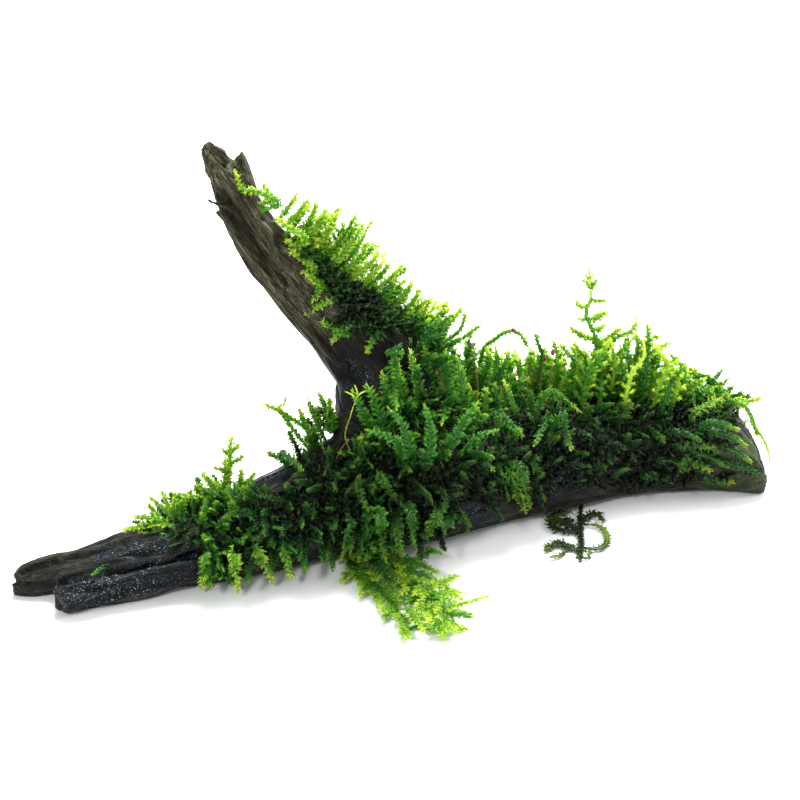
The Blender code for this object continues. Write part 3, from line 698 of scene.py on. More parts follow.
def frond(length, side_length, side_step=SIDE_STEP):
    """A straight, flat frond along x: a leafy main stem with leafy side stems."""
    twigs = [leafy_stem(length, young_from=0.7)]
    place = length * draw.uniform(0.12, 0.2)
    way = draw.choice((-1, 1))
    while place < length * 0.93 and side_length > 0:
        share = place / length
        beyond = (share - WIDEST_AT) / (1 - WIDEST_AT)
        profile = 0.55 + 1.1 * share if beyond < 0 else 0.94 * (1 - 0.8 * beyond)
        size = max(1.1, side_length * profile * draw.uniform(0.75, 1.2))
        side = leafy_stem(size, young_from=0.4)
        yaw = way * math.radians(SIDE_ANGLE - 12 * share + draw.normal(0, 6))
        moved = turned(side.points, draw.normal(0, 0.35), yaw, draw.normal(0.05, 0.2))
        moved[:, 0] += place
        twigs.append(Twig(moved, side.faces, side.youth * (0.25 + 0.75 * share ** 1.5), size))
        place += side_step * draw.uniform(0.75, 1.25)
        way = -way
    return joined(twigs, length)


def wide_frond(length):
    """A frond with long side stems."""
    return frond(length, 0.18 * length + 1.4)


def close_frond(length):
    """A narrow frond with short side stems close together."""
    return frond(length, 1.7, CLOSE_SIDE_STEP)


def feather(length):
    """A single stem with long leaves close together."""
    return leafy_stem(length, 1.45, 0.6, 0.2)


PATTERN_LENGTHS = (6.0, 8.0, 10.0, 12.0, 14.5, 17.0, 20.0)
patterns = [make(length) for length in PATTERN_LENGTHS for make in (wide_frond, close_frond, feather)]
SHORT_LENGTHS = (2.6, 3.4, 4.2, 5.0, 6.0)
short_patterns = [leafy_stem(length, 1.2, 0.4, SHORT_LEAF_STEP, 1.2)
                  for length in SHORT_LENGTHS for _ in range(2)]
print("faces of the frond patterns:", [len(p.faces) for p in patterns[::3]])

# %% [markdown]
# ## Bending a frond along a path
#
# A pattern is straight. To lay it along a path, every point is carried over: its place along the stem
# becomes a place on the path, and its distances to the side and upwards are measured from there, in
# the path's own directions. The path runs on a little beyond both ends, for the leaves that reach
# past the stem.

# %% Lay a pattern along a path
OVERRUN = 4.0  # mm that a path goes on beyond its ends
FLOOR_CLEARANCE = 0.15  # mm


def unit(vectors):
    """Vectors of length one."""
    vectors = np.asarray(vectors, float)
    return vectors / np.maximum(np.linalg.norm(vectors, axis=-1, keepdims=True), 1e-9)


def smooth_path(corners, count=14):
    """A smooth path through a few corners (Catmull-Rom)."""
    corners = np.asarray(corners, float)
    if len(corners) == 2:
        return corners[0] + (corners[1] - corners[0]) * np.linspace(0, 1, count)[:, None]
    padded = np.vstack((2 * corners[0] - corners[1], corners, 2 * corners[-1] - corners[-2]))
    found = []
    for t in np.linspace(0, len(corners) - 1 - 1e-6, count):
        i, f = int(t), t - int(t)
        p0, p1, p2, p3 = padded[i:i + 4]
        found.append(0.5 * (2 * p1 + (p2 - p0) * f + (2 * p0 - 5 * p1 + 4 * p2 - p3) * f ** 2
                            + (3 * p1 - p0 - 3 * p2 + p3) * f ** 3))
    return np.array(found)


def length_of(path):
    """The length of a path."""
    return np.linalg.norm(np.diff(path, axis=0), axis=1).sum()


def lay_along(twig, path, facing, width=1.0, thickness=1.0):
    """A twig bent along a path, its flat side turned to facing."""
    ends = unit(np.array((path[1] - path[0], path[-1] - path[-2]))) * OVERRUN
    path = np.vstack((path[0] - ends[0], path, path[-1] + ends[1]))
    reach = np.concatenate(([0], np.cumsum(np.linalg.norm(np.diff(path, axis=0), axis=1))))
    scale = (reach[-1] - 2 * OVERRUN) / twig.length
    along = twig.points[:, 0] * scale + OVERRUN
    base = np.column_stack([np.interp(along, reach, path[:, k]) for k in range(3)])
    slopes = unit(np.gradient(path, reach, axis=0))
    ahead = unit(np.column_stack([np.interp(along, reach, slopes[:, k]) for k in range(3)]))
    side = unit(np.cross(np.asarray(facing, float), ahead))
    above = np.cross(ahead, side)
    places = base + side * twig.points[:, 1:2] * width + above * twig.points[:, 2:] * width * thickness
    places[:, 2] = np.maximum(places[:, 2], FLOOR_CLEARANCE)
    return places


print("a path through three corners has", len(smooth_path(((0, 0, 0), (1, 0, 0), (1, 1, 0)))), "points")

# %% [markdown]
# ## Tufts
#
# The solid model says where each tuft grows: its mat lies on the wood, and its tapered bodies show
# how far the fronds reach. Roots are drawn on the underside of the mat, evenly, and set down on the
# wood. A frond starts square to the wood, leans the way its tuft leans, and then droops. A frond that
# would end inside the wood, or well outside the tuft's form, is drawn again. Some places are bare,
# thinly grown, or dark in the photo, with old brown moss and painted shade, so they are listed.

# %% What the tufts share
Tuft = namedtuple("Tuft", "node faces lengths lean dark depth short lowest blunt", defaults=(False,))
TUFTS = (
    Tuft("moss_left_limb", 62000, (6, 10), (-0.1, -0.25, 0.45), 0.0, -38, 0.35, 5, True),
    Tuft("moss_centre_left", 105000, (8, 13), (-0.1, -0.35, 0.15), 0.8, -24, 0.5, 10, True),
    Tuft("moss_fork", 110000, (9, 15), (0.0, -0.3, 0.6), 0.3, -30, 0.35, 9),
    Tuft("moss_crown", 140000, (10, 18), (0.0, -0.1, 0.8), 0.3, 0, 0.3, 11),
    Tuft("moss_right", 180000, (8, 13), (0.05, -0.05, 0.7), 0.35, 12, 0.4, 8),
    Tuft("moss_right_end", 90000, (7, 12), (0.4, -0.2, 0.15), 0.3, 18, 0.4, 4, True),
    Tuft("moss_back", 60000, (7, 13), (0.0, 0.25, 0.45), 0.4, 15, 0.3, 8),
    Tuft("moss_limb_lower", 90000, (5, 9), (0.5, -0.05, 0.6), 0.6, -5, 0.75, 58),
    Tuft("moss_limb_upper", 55000, (5, 8), (0.6, 0.0, 0.6), 0.2, -4, 0.7, 0),
)
LIMB_FROM, LIMB_BARE_TO = 45.0, -0.5  # mm: above this height, the limb is bare on its left side
ROOT_GAP = 1.6  # mm between the wood and the part of a solid that lies on it
BELOW = 0.2  # how much a solid's face may look the same way as the wood under it
ROOT_TRIES = 5
moss_trees = {name: tree_of(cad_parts[name].data) for name in MOSS_NODES}


def seen_point(u, v):
    """The point of the solid model's moss or of the wood that is seen at u, v, in mm, or None."""
    spots = [seen_on(tree, u, v) for tree in list(moss_trees.values()) + [wood_tree]]
    spots = [spot[0] for spot in spots if spot]
    return min(spots, key=lambda spot: (spot - CAMERA_PLACE).length) if spots else None


print("moss solids:", len(moss_trees))

# %% Old, bare and thin places
DARK_PLACES = (  # dark moss, old and brownish, with painted shade: place in the picture, and radius in mm
    (330, 485, 16), (385, 465, 14), (350, 520, 12), (515, 440, 20), (480, 470, 16), (570, 450, 16),
    (620, 440, 12), (290, 505, 12), (250, 530, 10), (320, 440, 8), (365, 300, 8), (345, 325, 8))
BARE_PLACES = (  # where the wood is bare between the tufts
    (110, 558, 13), (145, 562, 11), (168, 572, 8), (272, 475, 13), (256, 482, 7), (325, 556, 6), (352, 372, 9),
    (365, 358, 8), (698, 386, 5), (725, 390, 7), (744, 402, 8), (748, 452, 8), (750, 480, 8), (480, 522, 5),
    (560, 500, 5))
THIN_PLACES = (  # where only short shoots grow
    (150, 535, 11), (130, 540, 10), (175, 540, 8), (360, 300, 9), (345, 320, 8), (385, 325, 7), (330, 280, 7),
    (735, 420, 10), (700, 470, 12), (655, 460, 10))
RIGHT_LIMIT = 95.0  # mm: no frond of a mat reaches farther to the right
LOWEST_TIP = 5.0  # mm: nor farther down, where a mat fills in bare wood
# painted shade with old moss: the low front faces away from the light above
LOW_FRONT, LOW_DEPTH = 34.0, 12.0  # mm: the front is darker below this height, within this depth
FRONT_FROM, FRONT_TO = -15, 4  # mm: the front is right of this x, and to this far behind the log's middle
DARKEST = 0.92  # share of the dark colour in the darkest moss: old leaves and painted shade
dark_spots = spots_of(DARK_PLACES, seen_point)
bare_spots = spots_of(BARE_PLACES, wood_at)
thin_spots = spots_of(THIN_PLACES, wood_at)


def in_any(place, spots):
    """Whether a place lies in any of the spots."""
    return any(np.linalg.norm(place - spot) < radius for spot, radius in spots)


def darkness(place, base):
    """How dark the moss is at a place, 0 to 1: old brown moss and painted shade."""
    share = max(float(eased(1.3 * (1 - np.linalg.norm(place - spot) / radius))) for spot, radius in dark_spots)
    if place[0] > FRONT_FROM and place[1] < log_middle(place[0], 1) + FRONT_TO:
        share = max(share, float(eased((LOW_FRONT - place[2]) / LOW_DEPTH)))
    return min(DARKEST, base * 0.45 + 0.68 * share)


print("bare places:", len(bare_spots), "dark places:", len(dark_spots))

# %% Roots
def nearest(tree, point):
    """The nearest point of a surface and its normal, in mm."""
    spot, normal, _, away = tree.find_nearest(Vector(point) * MM)
    return np.array(spot) / MM, np.array(normal), away / MM


def bed_of(node_name, lowest):
    """The triangles of a solid that lie on the wood above a height, in mm, and their areas."""
    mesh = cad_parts[node_name].data
    where = read_points(mesh)
    mesh.calc_loop_triangles()
    corners = where[np.array([tuple(t.vertices) for t in mesh.loop_triangles])]
    middles = corners.mean(axis=1)
    normals_out = unit(np.cross(corners[:, 1] - corners[:, 0], corners[:, 2] - corners[:, 0]))
    kept = []
    for middle, out in zip(middles, normals_out):
        _, normal, away = nearest(wood_tree, middle)
        bare = middle[2] > LIMB_FROM and fibre_places(middle[None])[0][2] > LIMB_BARE_TO
        bare = bare or in_any(middle, bare_spots)
        kept.append(away < ROOT_GAP and out @ normal < BELOW and middle[2] > lowest and not bare)
    corners = corners[np.array(kept)]
    areas = np.linalg.norm(np.cross(corners[:, 1] - corners[:, 0], corners[:, 2] - corners[:, 0]), axis=1) / 2
    return corners, areas


def root_on(corners, areas, taken):
    """A root on the bed, the one of a few tries that is farthest from the roots before it."""
    best, best_gap = None, -1.0
    for _ in range(ROOT_TRIES):
        a, b, c = corners[draw.choice(len(corners), p=areas / areas.sum())]
        s, t = draw.uniform(size=2)
        if s + t > 1:
            s, t = 1 - s, 1 - t
        spot = a + (b - a) * s + (c - a) * t
        gap = min((np.linalg.norm(spot - other) for other in taken), default=99.0)
        if gap > best_gap:
            best, best_gap = spot, gap
    taken.append(best)
    return nearest(wood_tree, best)[:2]


def arched(root, way, length, droop):
    """A path that sets out along way and droops towards its tip."""
    t = np.linspace(0, 1, 9)[:, None]
    return root + way * length * t + np.array((0, 0, -droop * length)) * t ** 2


print("a frond of 10 mm that droops ends at, mm:", arched(np.zeros(3), np.array((1.0, 0, 0)), 10, 0.2)[-1])

# %% [markdown]
# ## Sprigs that stand out
#
# Some sprigs give the piece its outline: the tall sprig at the right, the row of upright fronds on the
# raised limb, the creepers on its front, and the tips that hang over the edge of the wood. They are
# drawn one by one, each as a few places in the picture and the depth of the tuft that carries it. The
# first place is the root. Where no depth is given, the sprig lies on what is seen there.

# %% The list of sprigs
Sprig = namedtuple("Sprig", "side corners depth width young", defaults=(None, 1.0, 0.3))
SPRIGS = {  # by tuft: length of the side stems in mm, places in the picture, depth in mm, width and youth
    "moss_limb_upper": (
        # upright along the right edge of the limb, and the creeper at its tip
        (1.2, ((280, 204), (268, 197), (256, 191), (244, 190), (238, 183), (235, 170)), -6, 1.0, 0.7),
        (1.6, ((272, 200), (268, 192), (262, 184)), -4, 1.0, 0.7),
        (1.8, ((284, 214), (291, 204), (297, 194)), -4, 1.0, 0.7),
        (1.8, ((290, 222), (301, 210), (308, 199)), -4, 1.0, 0.7),
        (2.0, ((300, 232), (311, 218), (317, 202)), -4, 1.0, 0.6),
        (2.0, ((306, 240), (320, 224), (326, 208)), -5, 1.0, 0.7),
        (2.2, ((318, 246), (330, 228), (339, 206)), -4, 1.0, 0.7),
        (2.2, ((326, 256), (344, 236), (356, 214)), -4, 1.0, 0.6),
        (2.2, ((334, 262), (350, 244), (366, 222)), -6, 1.0, 0.7),
        (2.0, ((338, 264), (356, 246), (373, 219)), -3, 1.0, 0.7),
        # blunt creepers that lie on the front of the limb
        (1.0, ((306, 240), (291, 229), (275, 217)), None, 1.1, 0.6),
        (1.0, ((314, 262), (300, 251), (286, 239)), None, 1.1, 0.6),
        (1.0, ((318, 272), (304, 260), (289, 249)), None, 1.1, 0.6),
    ),
    "moss_limb_lower": (
        # upright along the right edge of the limb, and the creeper at its tip
        (2.0, ((342, 274), (360, 258), (368, 240)), -4, 1.0, 0.6),
        (2.0, ((350, 280), (368, 266), (380, 251)), -4, 1.0, 0.7),
        (2.0, ((358, 290), (378, 278), (391, 262)), -3, 1.0, 0.6),
        (2.0, ((364, 296), (386, 282), (404, 264)), -3, 1.0, 0.7),
        (2.0, ((372, 304), (388, 296), (396, 278)), -4, 1.0, 0.6),
        (2.0, ((384, 312), (400, 300), (413, 281)), -3, 1.0, 0.7),
        (2.0, ((392, 320), (410, 306), (420, 288)), -4, 1.0, 0.6),
        (2.0, ((404, 330), (420, 316), (432, 298)), -2, 1.0, 0.7),
        (2.0, ((412, 338), (432, 322), (448, 303)), -1, 1.0, 0.7),
        (2.0, ((424, 342), (446, 326), (463, 308)), -1, 1.0, 0.7),
        (1.4, ((444, 342), (460, 330), (466, 311)), 0, 0.8, 0.7),
        (1.6, ((448, 346), (466, 336), (481, 324)), 0, 0.8, 0.6),
        # blunt creepers that lie on the front of the limb
        (1.0, ((330, 290), (316, 281), (303, 271)), None, 1.1, 0.6),
        (1.0, ((334, 300), (320, 305), (305, 315)), None, 1.0, 0.6),
        (1.2, ((350, 334), (335, 328), (321, 322)), None, 1.1, 0.5),
        (1.2, ((352, 318), (340, 330), (332, 343)), None, 1.1, 0.4),
        (1.2, ((322, 276), (318, 290), (312, 302)), None, 1.1, 0.5),
        (1.2, ((366, 322), (352, 326), (340, 334)), None, 1.1, 0.2),
        (1.6, ((380, 330), (372, 342), (366, 352))),
    ),
    "moss_crown": (
        # upright in the crown and before it
        (3.0, ((425, 372), (410, 350), (396, 338)), -6),
        (3.2, ((450, 365), (446, 350), (440, 336)), 0),
        (3.0, ((470, 362), (468, 345), (472, 330)), 4),
        (3.0, ((395, 352), (392, 378), (397, 410))),
        (3.4, ((440, 375), (446, 398), (442, 425))),
        (3.2, ((432, 420), (430, 384), (424, 344)), -12),
        (3.2, ((420, 400), (414, 370), (404, 348)), -10),
        (3.2, ((446, 412), (448, 380), (446, 350)), -12),
        (3.2, ((462, 410), (462, 384), (456, 356)), -10),
        (3.2, ((452, 444), (462, 424), (478, 402)), -28, 0.85, 0.08),
        (3.0, ((470, 446), (480, 436), (498, 430)), -28, 0.85, 0.08),
        (3.0, ((486, 396), (498, 378), (510, 352)), 2),
        (3.0, ((480, 384), (486, 366), (492, 346)), 4),
        # single fronds before dark wood, and tips over its lower edge
        (1.0, ((498, 412), (510, 424), (521, 432)), None, 1.0, 0.15),
        (1.0, ((476, 420), (488, 419), (501, 418)), None, 1.0, 0.15),
        (2.4, ((500, 468), (505, 486), (511, 502)), None, 1.2, 0.3),
        (2.4, ((510, 474), (517, 493), (526, 513)), None, 1.3, 0.45),
        (2.2, ((520, 468), (526, 488), (530, 508))),
    ),
    "moss_fork": (
        # upright in the crown and before it
        (2.6, ((372, 432), (362, 410), (352, 390)), -22),
        (3.0, ((384, 430), (376, 404), (366, 384)), -22),
        (3.0, ((396, 430), (388, 402), (382, 372)), -20),
        (3.2, ((408, 428), (402, 396), (394, 354)), -18),
        (3.2, ((420, 428), (418, 392), (410, 350)), -16),
        (3.0, ((400, 446), (386, 436), (366, 430)), -34, 0.85, 0.08),
        (3.0, ((410, 450), (402, 424), (388, 408)), -32, 0.85, 0.08),
        (3.2, ((428, 456), (430, 430), (424, 404)), -32, 0.85, 0.08),
        # single fronds before dark wood, and tips over its lower edge
        (2.6, ((440, 508), (432, 525), (424, 541)), None, 1.0, 0.35),
        (2.6, ((450, 510), (447, 524), (443, 538)), None, 1.0, 0.35),
        (2.4, ((458, 508), (463, 520), (466, 532)), None, 1.1, 0.4),
        # hanging over the edge of the wood, above the trailing sprig
        (2.4, ((396, 514), (398, 536), (402, 556))),
        (2.2, ((410, 510), (412, 532), (416, 550))),
        # left of the fork
        (0.0, ((345, 436), (350, 417), (357, 396)), -24, 0.18, 0.85),
    ),
    "moss_right": (
        # arches, the tall sprig and its neighbours
        (1.3, ((482, 354), (494, 340), (508, 331), (520, 334), (530, 350)), 8, 0.9, 0.6),
        (2.6, ((542, 356), (538, 344), (535, 331)), 10),
        (0.0, ((604, 362), (597, 340), (591, 327), (586, 312), (591, 298), (589, 270)), 14, 0.75, 0.5),
        (2.0, ((596, 348), (584, 336), (569, 327)), 14, 1.0, 0.5),
        (2.0, ((600, 352), (612, 337), (620, 328)), 14, 1.0, 0.5),
        (1.6, ((604, 356), (616, 338), (632, 331), (637, 317)), 14, 1.0, 0.5),
        (3.0, ((640, 368), (648, 345), (648, 321)), 14, 1.0, 0.5),
        (2.0, ((640, 366), (655, 350), (673, 342)), 14, 1.0, 0.5),
        (2.4, ((634, 370), (638, 350), (636, 330)), 14, 1.0, 0.5),
        (2.4, ((646, 372), (656, 356), (660, 344)), 16, 1.0, 0.5),
        (2.4, ((624, 370), (628, 356), (626, 340)), 16, 1.0, 0.5),
        (2.6, ((608, 368), (604, 350), (600, 336)), 16, 1.0, 0.5),
        (2.4, ((586, 362), (578, 350), (574, 340)), 14, 1.0, 0.5),
        (2.6, ((574, 364), (566, 352), (560, 342)), 12, 1.0, 0.5),
        (2.6, ((654, 380), (668, 368), (678, 356)), 16, 1.0, 0.6),
        (2.6, ((664, 384), (682, 376), (694, 368)), 16, 1.0, 0.6),
        (1.6, ((632, 366), (650, 340), (663, 336)), 14, 1.0, 0.5),
        (2.0, ((612, 366), (620, 353), (628, 342)), 14, 1.0, 0.5),
        (2.2, ((560, 362), (556, 350), (552, 340)), 12, 1.0, 0.5),
        (3.0, ((662, 392), (682, 380), (700, 368)), 16, 1.0, 0.5),
        (2.6, ((668, 398), (690, 388), (706, 378)), 14, 1.0, 0.5),
        # single fronds before dark wood, and tips over its lower edge
        (2.0, ((546, 393), (564, 400), (581, 412))),
        (1.6, ((562, 416), (566, 432), (571, 451))),
        (1.8, ((548, 416), (541, 431), (534, 446))),
        (2.2, ((534, 462), (540, 482), (545, 501))),
    ),
    "moss_right_end": (
        # layers over the right end
        (3.0, ((700, 408), (712, 395), (722, 382)), 18),
        (2.2, ((712, 408), (724, 396), (734, 385)), 18),
        (2.4, ((716, 410), (742, 403), (763, 398)), 20, 0.9, 0.7),
        (1.4, ((736, 404), (748, 410), (758, 437)), 18, 0.9, 0.7),
        (0.0, ((748, 420), (760, 434), (768, 450), (770, 464)), 17, 0.45, 0.8),
        (1.8, ((694, 414), (706, 406), (722, 398)), None, 1.2, 0.45),
        (0.0, ((706, 424), (722, 424), (738, 430)), None, 1.1, 0.3),
        (0.0, ((712, 432), (730, 436), (746, 446)), None, 1.2, 0.2),
        (0.0, ((668, 432), (684, 434), (700, 440)), None, 1.1, 0.1),
        (0.0, ((722, 446), (736, 452), (751, 462)), None, 1.1, 0.2),
        (0.0, ((660, 460), (673, 462), (688, 470)), None, 1.2, 0.1),
        (0.0, ((646, 476), (660, 476), (672, 482)), None, 1.2, 0.1),
        (0.0, ((704, 478), (718, 481), (733, 482)), None, 1.2, 0.35),
        (1.2, ((676, 446), (694, 445), (716, 449)), None, 1.2, 0.3),
        (1.4, ((682, 461), (696, 464), (712, 470)), None, 1.3, 0.45),
        (0.0, ((692, 452), (708, 457), (728, 466)), None, 1.2, 0.2),
        (1.6, ((724, 462), (742, 468), (758, 473)), None, 1.0, 0.0),
        (1.8, ((688, 455), (680, 468), (672, 481))),
    ),
    "moss_centre_left": (
        # hanging over the edge of the wood, above the trailing sprig
        (2.2, ((352, 520), (346, 540), (342, 560))),
        (2.4, ((366, 516), (362, 540), (358, 562))),
        (2.4, ((380, 514), (382, 538), (386, 562))),
        # left of the fork
        (1.6, ((280, 452), (291, 460), (303, 470))),
        (1.6, ((358, 488), (362, 498), (368, 511))),
        (1.6, ((384, 482), (389, 492), (396, 501))),
        (1.8, ((340, 432), (328, 412), (318, 392)), -10, 1.0, 0.5),
        (1.6, ((312, 440), (304, 422), (299, 408)), -12, 1.0, 0.5),
        (1.8, ((322, 434), (314, 416), (308, 400)), -12, 1.0, 0.5),
        (1.8, ((336, 430), (332, 414), (328, 399)), -12, 1.0, 0.5),
        (0.9, ((320, 438), (300, 424), (280, 411), (262, 404)), -12, 0.8, 0.6),
        (0.0, ((280, 411), (284, 404), (286, 398)), -12, 0.8, 0.6),
        (2.0, ((302, 468), (284, 460), (266, 452)), -14),
        # on the low left limb
        (1.8, ((284, 550), (288, 564), (291, 579)), None, 1.1, 0.5),
    ),
    "moss_left_limb": (
        # on the low left limb
        (1.4, ((228, 490), (230, 462), (231, 435)), -26, 1.0, 0.7),
        (2.0, ((222, 494), (226, 476), (224, 458)), -26, 1.0, 0.6),
        (2.6, ((226, 504), (214, 488), (202, 473)), -28, 1.0, 0.7),
        (2.2, ((220, 506), (208, 496), (198, 484)), -28, 1.0, 0.6),
        (1.8, ((238, 498), (246, 484), (256, 473)), -26, 1.0, 0.6),
        (2.0, ((236, 496), (240, 482), (242, 470)), -26, 1.0, 0.6),
        (0.9, ((172, 518), (162, 507), (150, 497)), -34, 0.75, 0.7),
        (0.9, ((173, 517), (167, 503), (162, 491)), -35, 0.75, 0.7),
        (0.9, ((174, 516), (174, 503), (176, 491)), -34, 0.75, 0.7),
        (1.8, ((178, 516), (182, 504), (188, 494)), -33, 1.0, 0.6),
        (1.4, ((164, 520), (154, 512), (148, 503)), -34, 1.0, 0.7),
        (2.0, ((172, 524), (148, 526), (122, 529)), -38, 1.0, 0.7),
        (1.6, ((166, 522), (150, 518), (134, 516)), -37, 1.0, 0.7),
        (1.8, ((170, 530), (156, 532), (140, 536)), -38, 1.0, 0.4),
        (2.0, ((190, 516), (180, 512), (168, 508)), -33, 1.0, 0.5),
        (2.2, ((196, 512), (192, 500), (190, 490)), -30, 1.0, 0.5),
        (1.8, ((206, 556), (203, 574), (202, 590)), None, 1.1, 0.5),
        (2.2, ((234, 556), (236, 574), (238, 593)), None, 1.1, 0.7),
        (2.0, ((258, 552), (266, 568), (273, 584)), None, 1.1, 0.6),
        (0.0, ((108, 566), (101, 569), (94, 574)), None, 0.8, 0.0),
    ),
}
print("sprigs drawn one by one:", sum(map(len, SPRIGS.values())))

# %% Side shoots of the tall sprigs
SHOOTS = {  # these start on another sprig and not on the wood
    "moss_right": (
        (0.6, ((590, 289), (587, 284), (584, 280)), 14, 0.9, 0.6),
        (0.6, ((590, 289), (593, 284), (597, 281)), 14, 0.9, 0.6),
        (0.0, ((589, 280), (587, 276), (585, 274)), 14, 0.7, 0.6),
        (0.0, ((589, 279), (592, 276), (594, 274)), 14, 0.7, 0.6),
        (0.9, ((590, 299), (597, 301), (605, 300)), 14, 1.0, 0.8),
        (0.7, ((588, 308), (582, 307), (575, 302)), 14, 1.0, 0.8),
        (0.6, ((588, 318), (583, 320), (578, 319)), 14, 0.9, 0.6),
        (1.6, ((589, 320), (597, 317), (607, 312)), 14, 1.3, 0.8),
        (0.9, ((592, 330), (599, 329), (606, 325)), 14, 1.0, 0.7),
        (1.3, ((596, 339), (583, 336), (570, 328)), 14, 1.1, 0.7),
        (1.3, ((597, 343), (609, 338), (621, 328)), 14, 1.1, 0.7),
    ),
    "moss_left_limb": (
        (0.8, ((230, 464), (237, 460), (243, 457)), -26, 0.8, 0.6),
        (0.8, ((229, 474), (222, 470), (215, 468)), -26, 0.8, 0.6),
        (0.6, ((231, 452), (236, 448), (240, 445)), -26, 0.7, 0.6),
        (0.6, ((230, 456), (226, 452), (222, 450)), -26, 0.7, 0.6),
    ),
    "moss_fork": (
        (0.0, ((356, 399), (351, 394), (346, 392)), -24, 0.35, 0.8),
        (0.0, ((356, 398), (361, 393), (366, 391)), -24, 0.35, 0.8),
        (0.0, ((357, 397), (357, 391), (355, 386)), -24, 0.35, 0.8),
    ),
}
print("side shoots:", sum(map(len, SHOOTS.values())))

# %% [markdown]
# ## Leaves that let light through
#
# Java moss leaves are a single layer of cells, so they are fresh green, a little glossy when wet, and
# they glow where light falls on them from behind. Each point stores how young it is, how dark its part
# of the tuft is, from old brown leaves and painted shade, and a shade of colour for its own frond,
# which on the fronds of a mat also holds painted light: the higher the tip, the lighter. Old leaves are
# a deep bottle green and young tips a light yellow-green, and small pale points are painted highlights
# of beads of water on them. Part of the light is reflected and part comes through, so the shader mixes
# a Principled one with a Translucent one.

# %% Moss leaf material
THROUGH = 0.5  # share of the light that goes through a leaf


def moss_material(name, ramp, glow):
    """Moss leaves: ramp is their colour from old to young, and glow the colour of light through them."""
    leaf_cells = new_material(name)
    youth, dark, shade = add_node(leaf_cells, "SeparateXYZ", {0: stored(leaf_cells, "growth")}).outputs
    place = add_node(leaf_cells, "TexCoord").outputs["Object"]
    cells = add_node(leaf_cells, "TexNoise", {"Vector": place, "Scale": 900.0, "Detail": 2.0})
    blotched = total(leaf_cells, youth, mapped(leaf_cells, cells.outputs[0], 0.0, 1.0, -0.12, 0.12))
    fresh = add_node(leaf_cells, "ValToRGB", {0: total(leaf_cells, blotched, shade)}, stops=ramp)
    # the dark colour of old brown leaves and of painted shade
    aged_and_shaded = over(leaf_cells, fresh.outputs[0], dark, linear("#141F0E"))
    # small pale points: painted highlights of beads of water on the leaves
    drop_glints = add_node(leaf_cells, "TexNoise", {"Vector": place, "Scale": 2200.0, "Detail": 1.0})
    with_glints = over(leaf_cells, aged_and_shaded, mapped(leaf_cells, drop_glints.outputs[0], 0.64, 0.7, 0.0, 0.45), linear("#B4C8A0"))
    through = over(leaf_cells, aged_and_shaded, 0.65, linear(glow), "MULTIPLY")
    lit = over(leaf_cells, through, 0.35, aged_and_shaded, "ADD")
    face = add_node(leaf_cells, "BsdfPrincipled", {
        "Base Color": with_glints, "Roughness": 0.3, "Specular IOR Level": 0.5})
    back = add_node(leaf_cells, "BsdfTranslucent", {"Color": lit})
    both = add_node(leaf_cells, "MixShader", {0: THROUGH, 1: face.outputs[0], 2: back.outputs[0]})
    add_node(leaf_cells, "OutputMaterial", {"Surface": both.outputs[0]})
    return leaf_cells


moss_leaves = moss_material("java_moss_leaves", (
    (0.0, "#1C4616"), (0.3, "#388426"), (0.55, "#66AE2C"), (0.8, "#AAD236"), (1.0, "#DCEE54")), "#F0FFB0")
dark_leaves = moss_material("old_java_moss_leaves", (
    (0.0, "#1C260E"), (0.5, "#32481A"), (0.8, "#587826"), (1.0, "#8AA63A")), "#D8E890")
print("moss materials:", moss_leaves.name, dark_leaves.name)

# %% [markdown]
# ## Growing a tuft
#
# A tuft gets its sprigs first, then rows of upright fronds where the photo shows an even edge of tips,
# then short dark shoots over its ground, then fronds over wood that its mat leaves bare, and last the
# fronds of the mat itself. Each one is rooted on the wood, also where the places in the picture put
# its first point in front of it. A twig is kept as plain numbers, and one mesh is made of all of them
# at the end, because that is far faster than an object for each.

# %% Collect twigs in one mesh
OLDEST, YOUNG_SHARE = 0.1, 0.75  # what every leaf has of youth, and how much of its frond's youth it takes on
TIP_YOUTH, YOUNG_TIP = 0.52, 0.6  # how much younger a tip is on an old frond, and how much more on a young one


class Growth:
    """Collects bent twigs for one piece, with what each point stores."""

    def __init__(self):
        self.places, self.faces, self.growth = [], [], []
        self.count = self.face_count = 0

    def add(self, twig, places, young, dark, shade):
        """Adds a bent twig."""
        self.places.append(places)
        self.faces.append(twig.faces + self.count)
        youth = np.clip(OLDEST + YOUNG_SHARE * young + twig.youth * (TIP_YOUTH + YOUNG_TIP * young), 0, 1)
        self.growth.append(np.column_stack((youth, np.full(len(youth), dark), np.full(len(youth), shade))))
        self.count += len(places)
        self.face_count += len(twig.faces)

    def piece(self, name, material, slot_name, *replaced):
        """Makes one mesh of all that was added."""
        places, faces = np.concatenate(self.places), np.concatenate(self.faces)
        mesh = bpy.data.meshes.new(name)
        mesh.vertices.add(len(places))
        mesh.vertices.foreach_set("co", (places * MM).ravel())
        mesh.loops.add(3 * len(faces))
        mesh.loops.foreach_set("vertex_index", faces.astype(np.int32).ravel())
        mesh.polygons.add(len(faces))
        mesh.polygons.foreach_set("loop_start", np.arange(0, 3 * len(faces), 3, dtype=np.int32))
        mesh.update(calc_edges=True)
        store(mesh, "growth", np.concatenate(self.growth))
        mesh.materials.append(material)
        piece = bpy.data.objects.new(name, mesh)
        bpy.context.collection.objects.link(piece)
        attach(piece, "root")
        if replaced:
            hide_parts(*replaced)
        print(name, "faces:", self.face_count)
        return piece


print("each point stores its youth, its darkness and a shade")

# %% Paths and patterns of single fronds
OFF_GROUND = 1.4  # mm from a creeper's middle down to what it lies on
LOOSE_FROM, ROOT_DEPTH = 1.0, 0.5  # mm: a frond that starts farther off the wood gets a root this deep in it


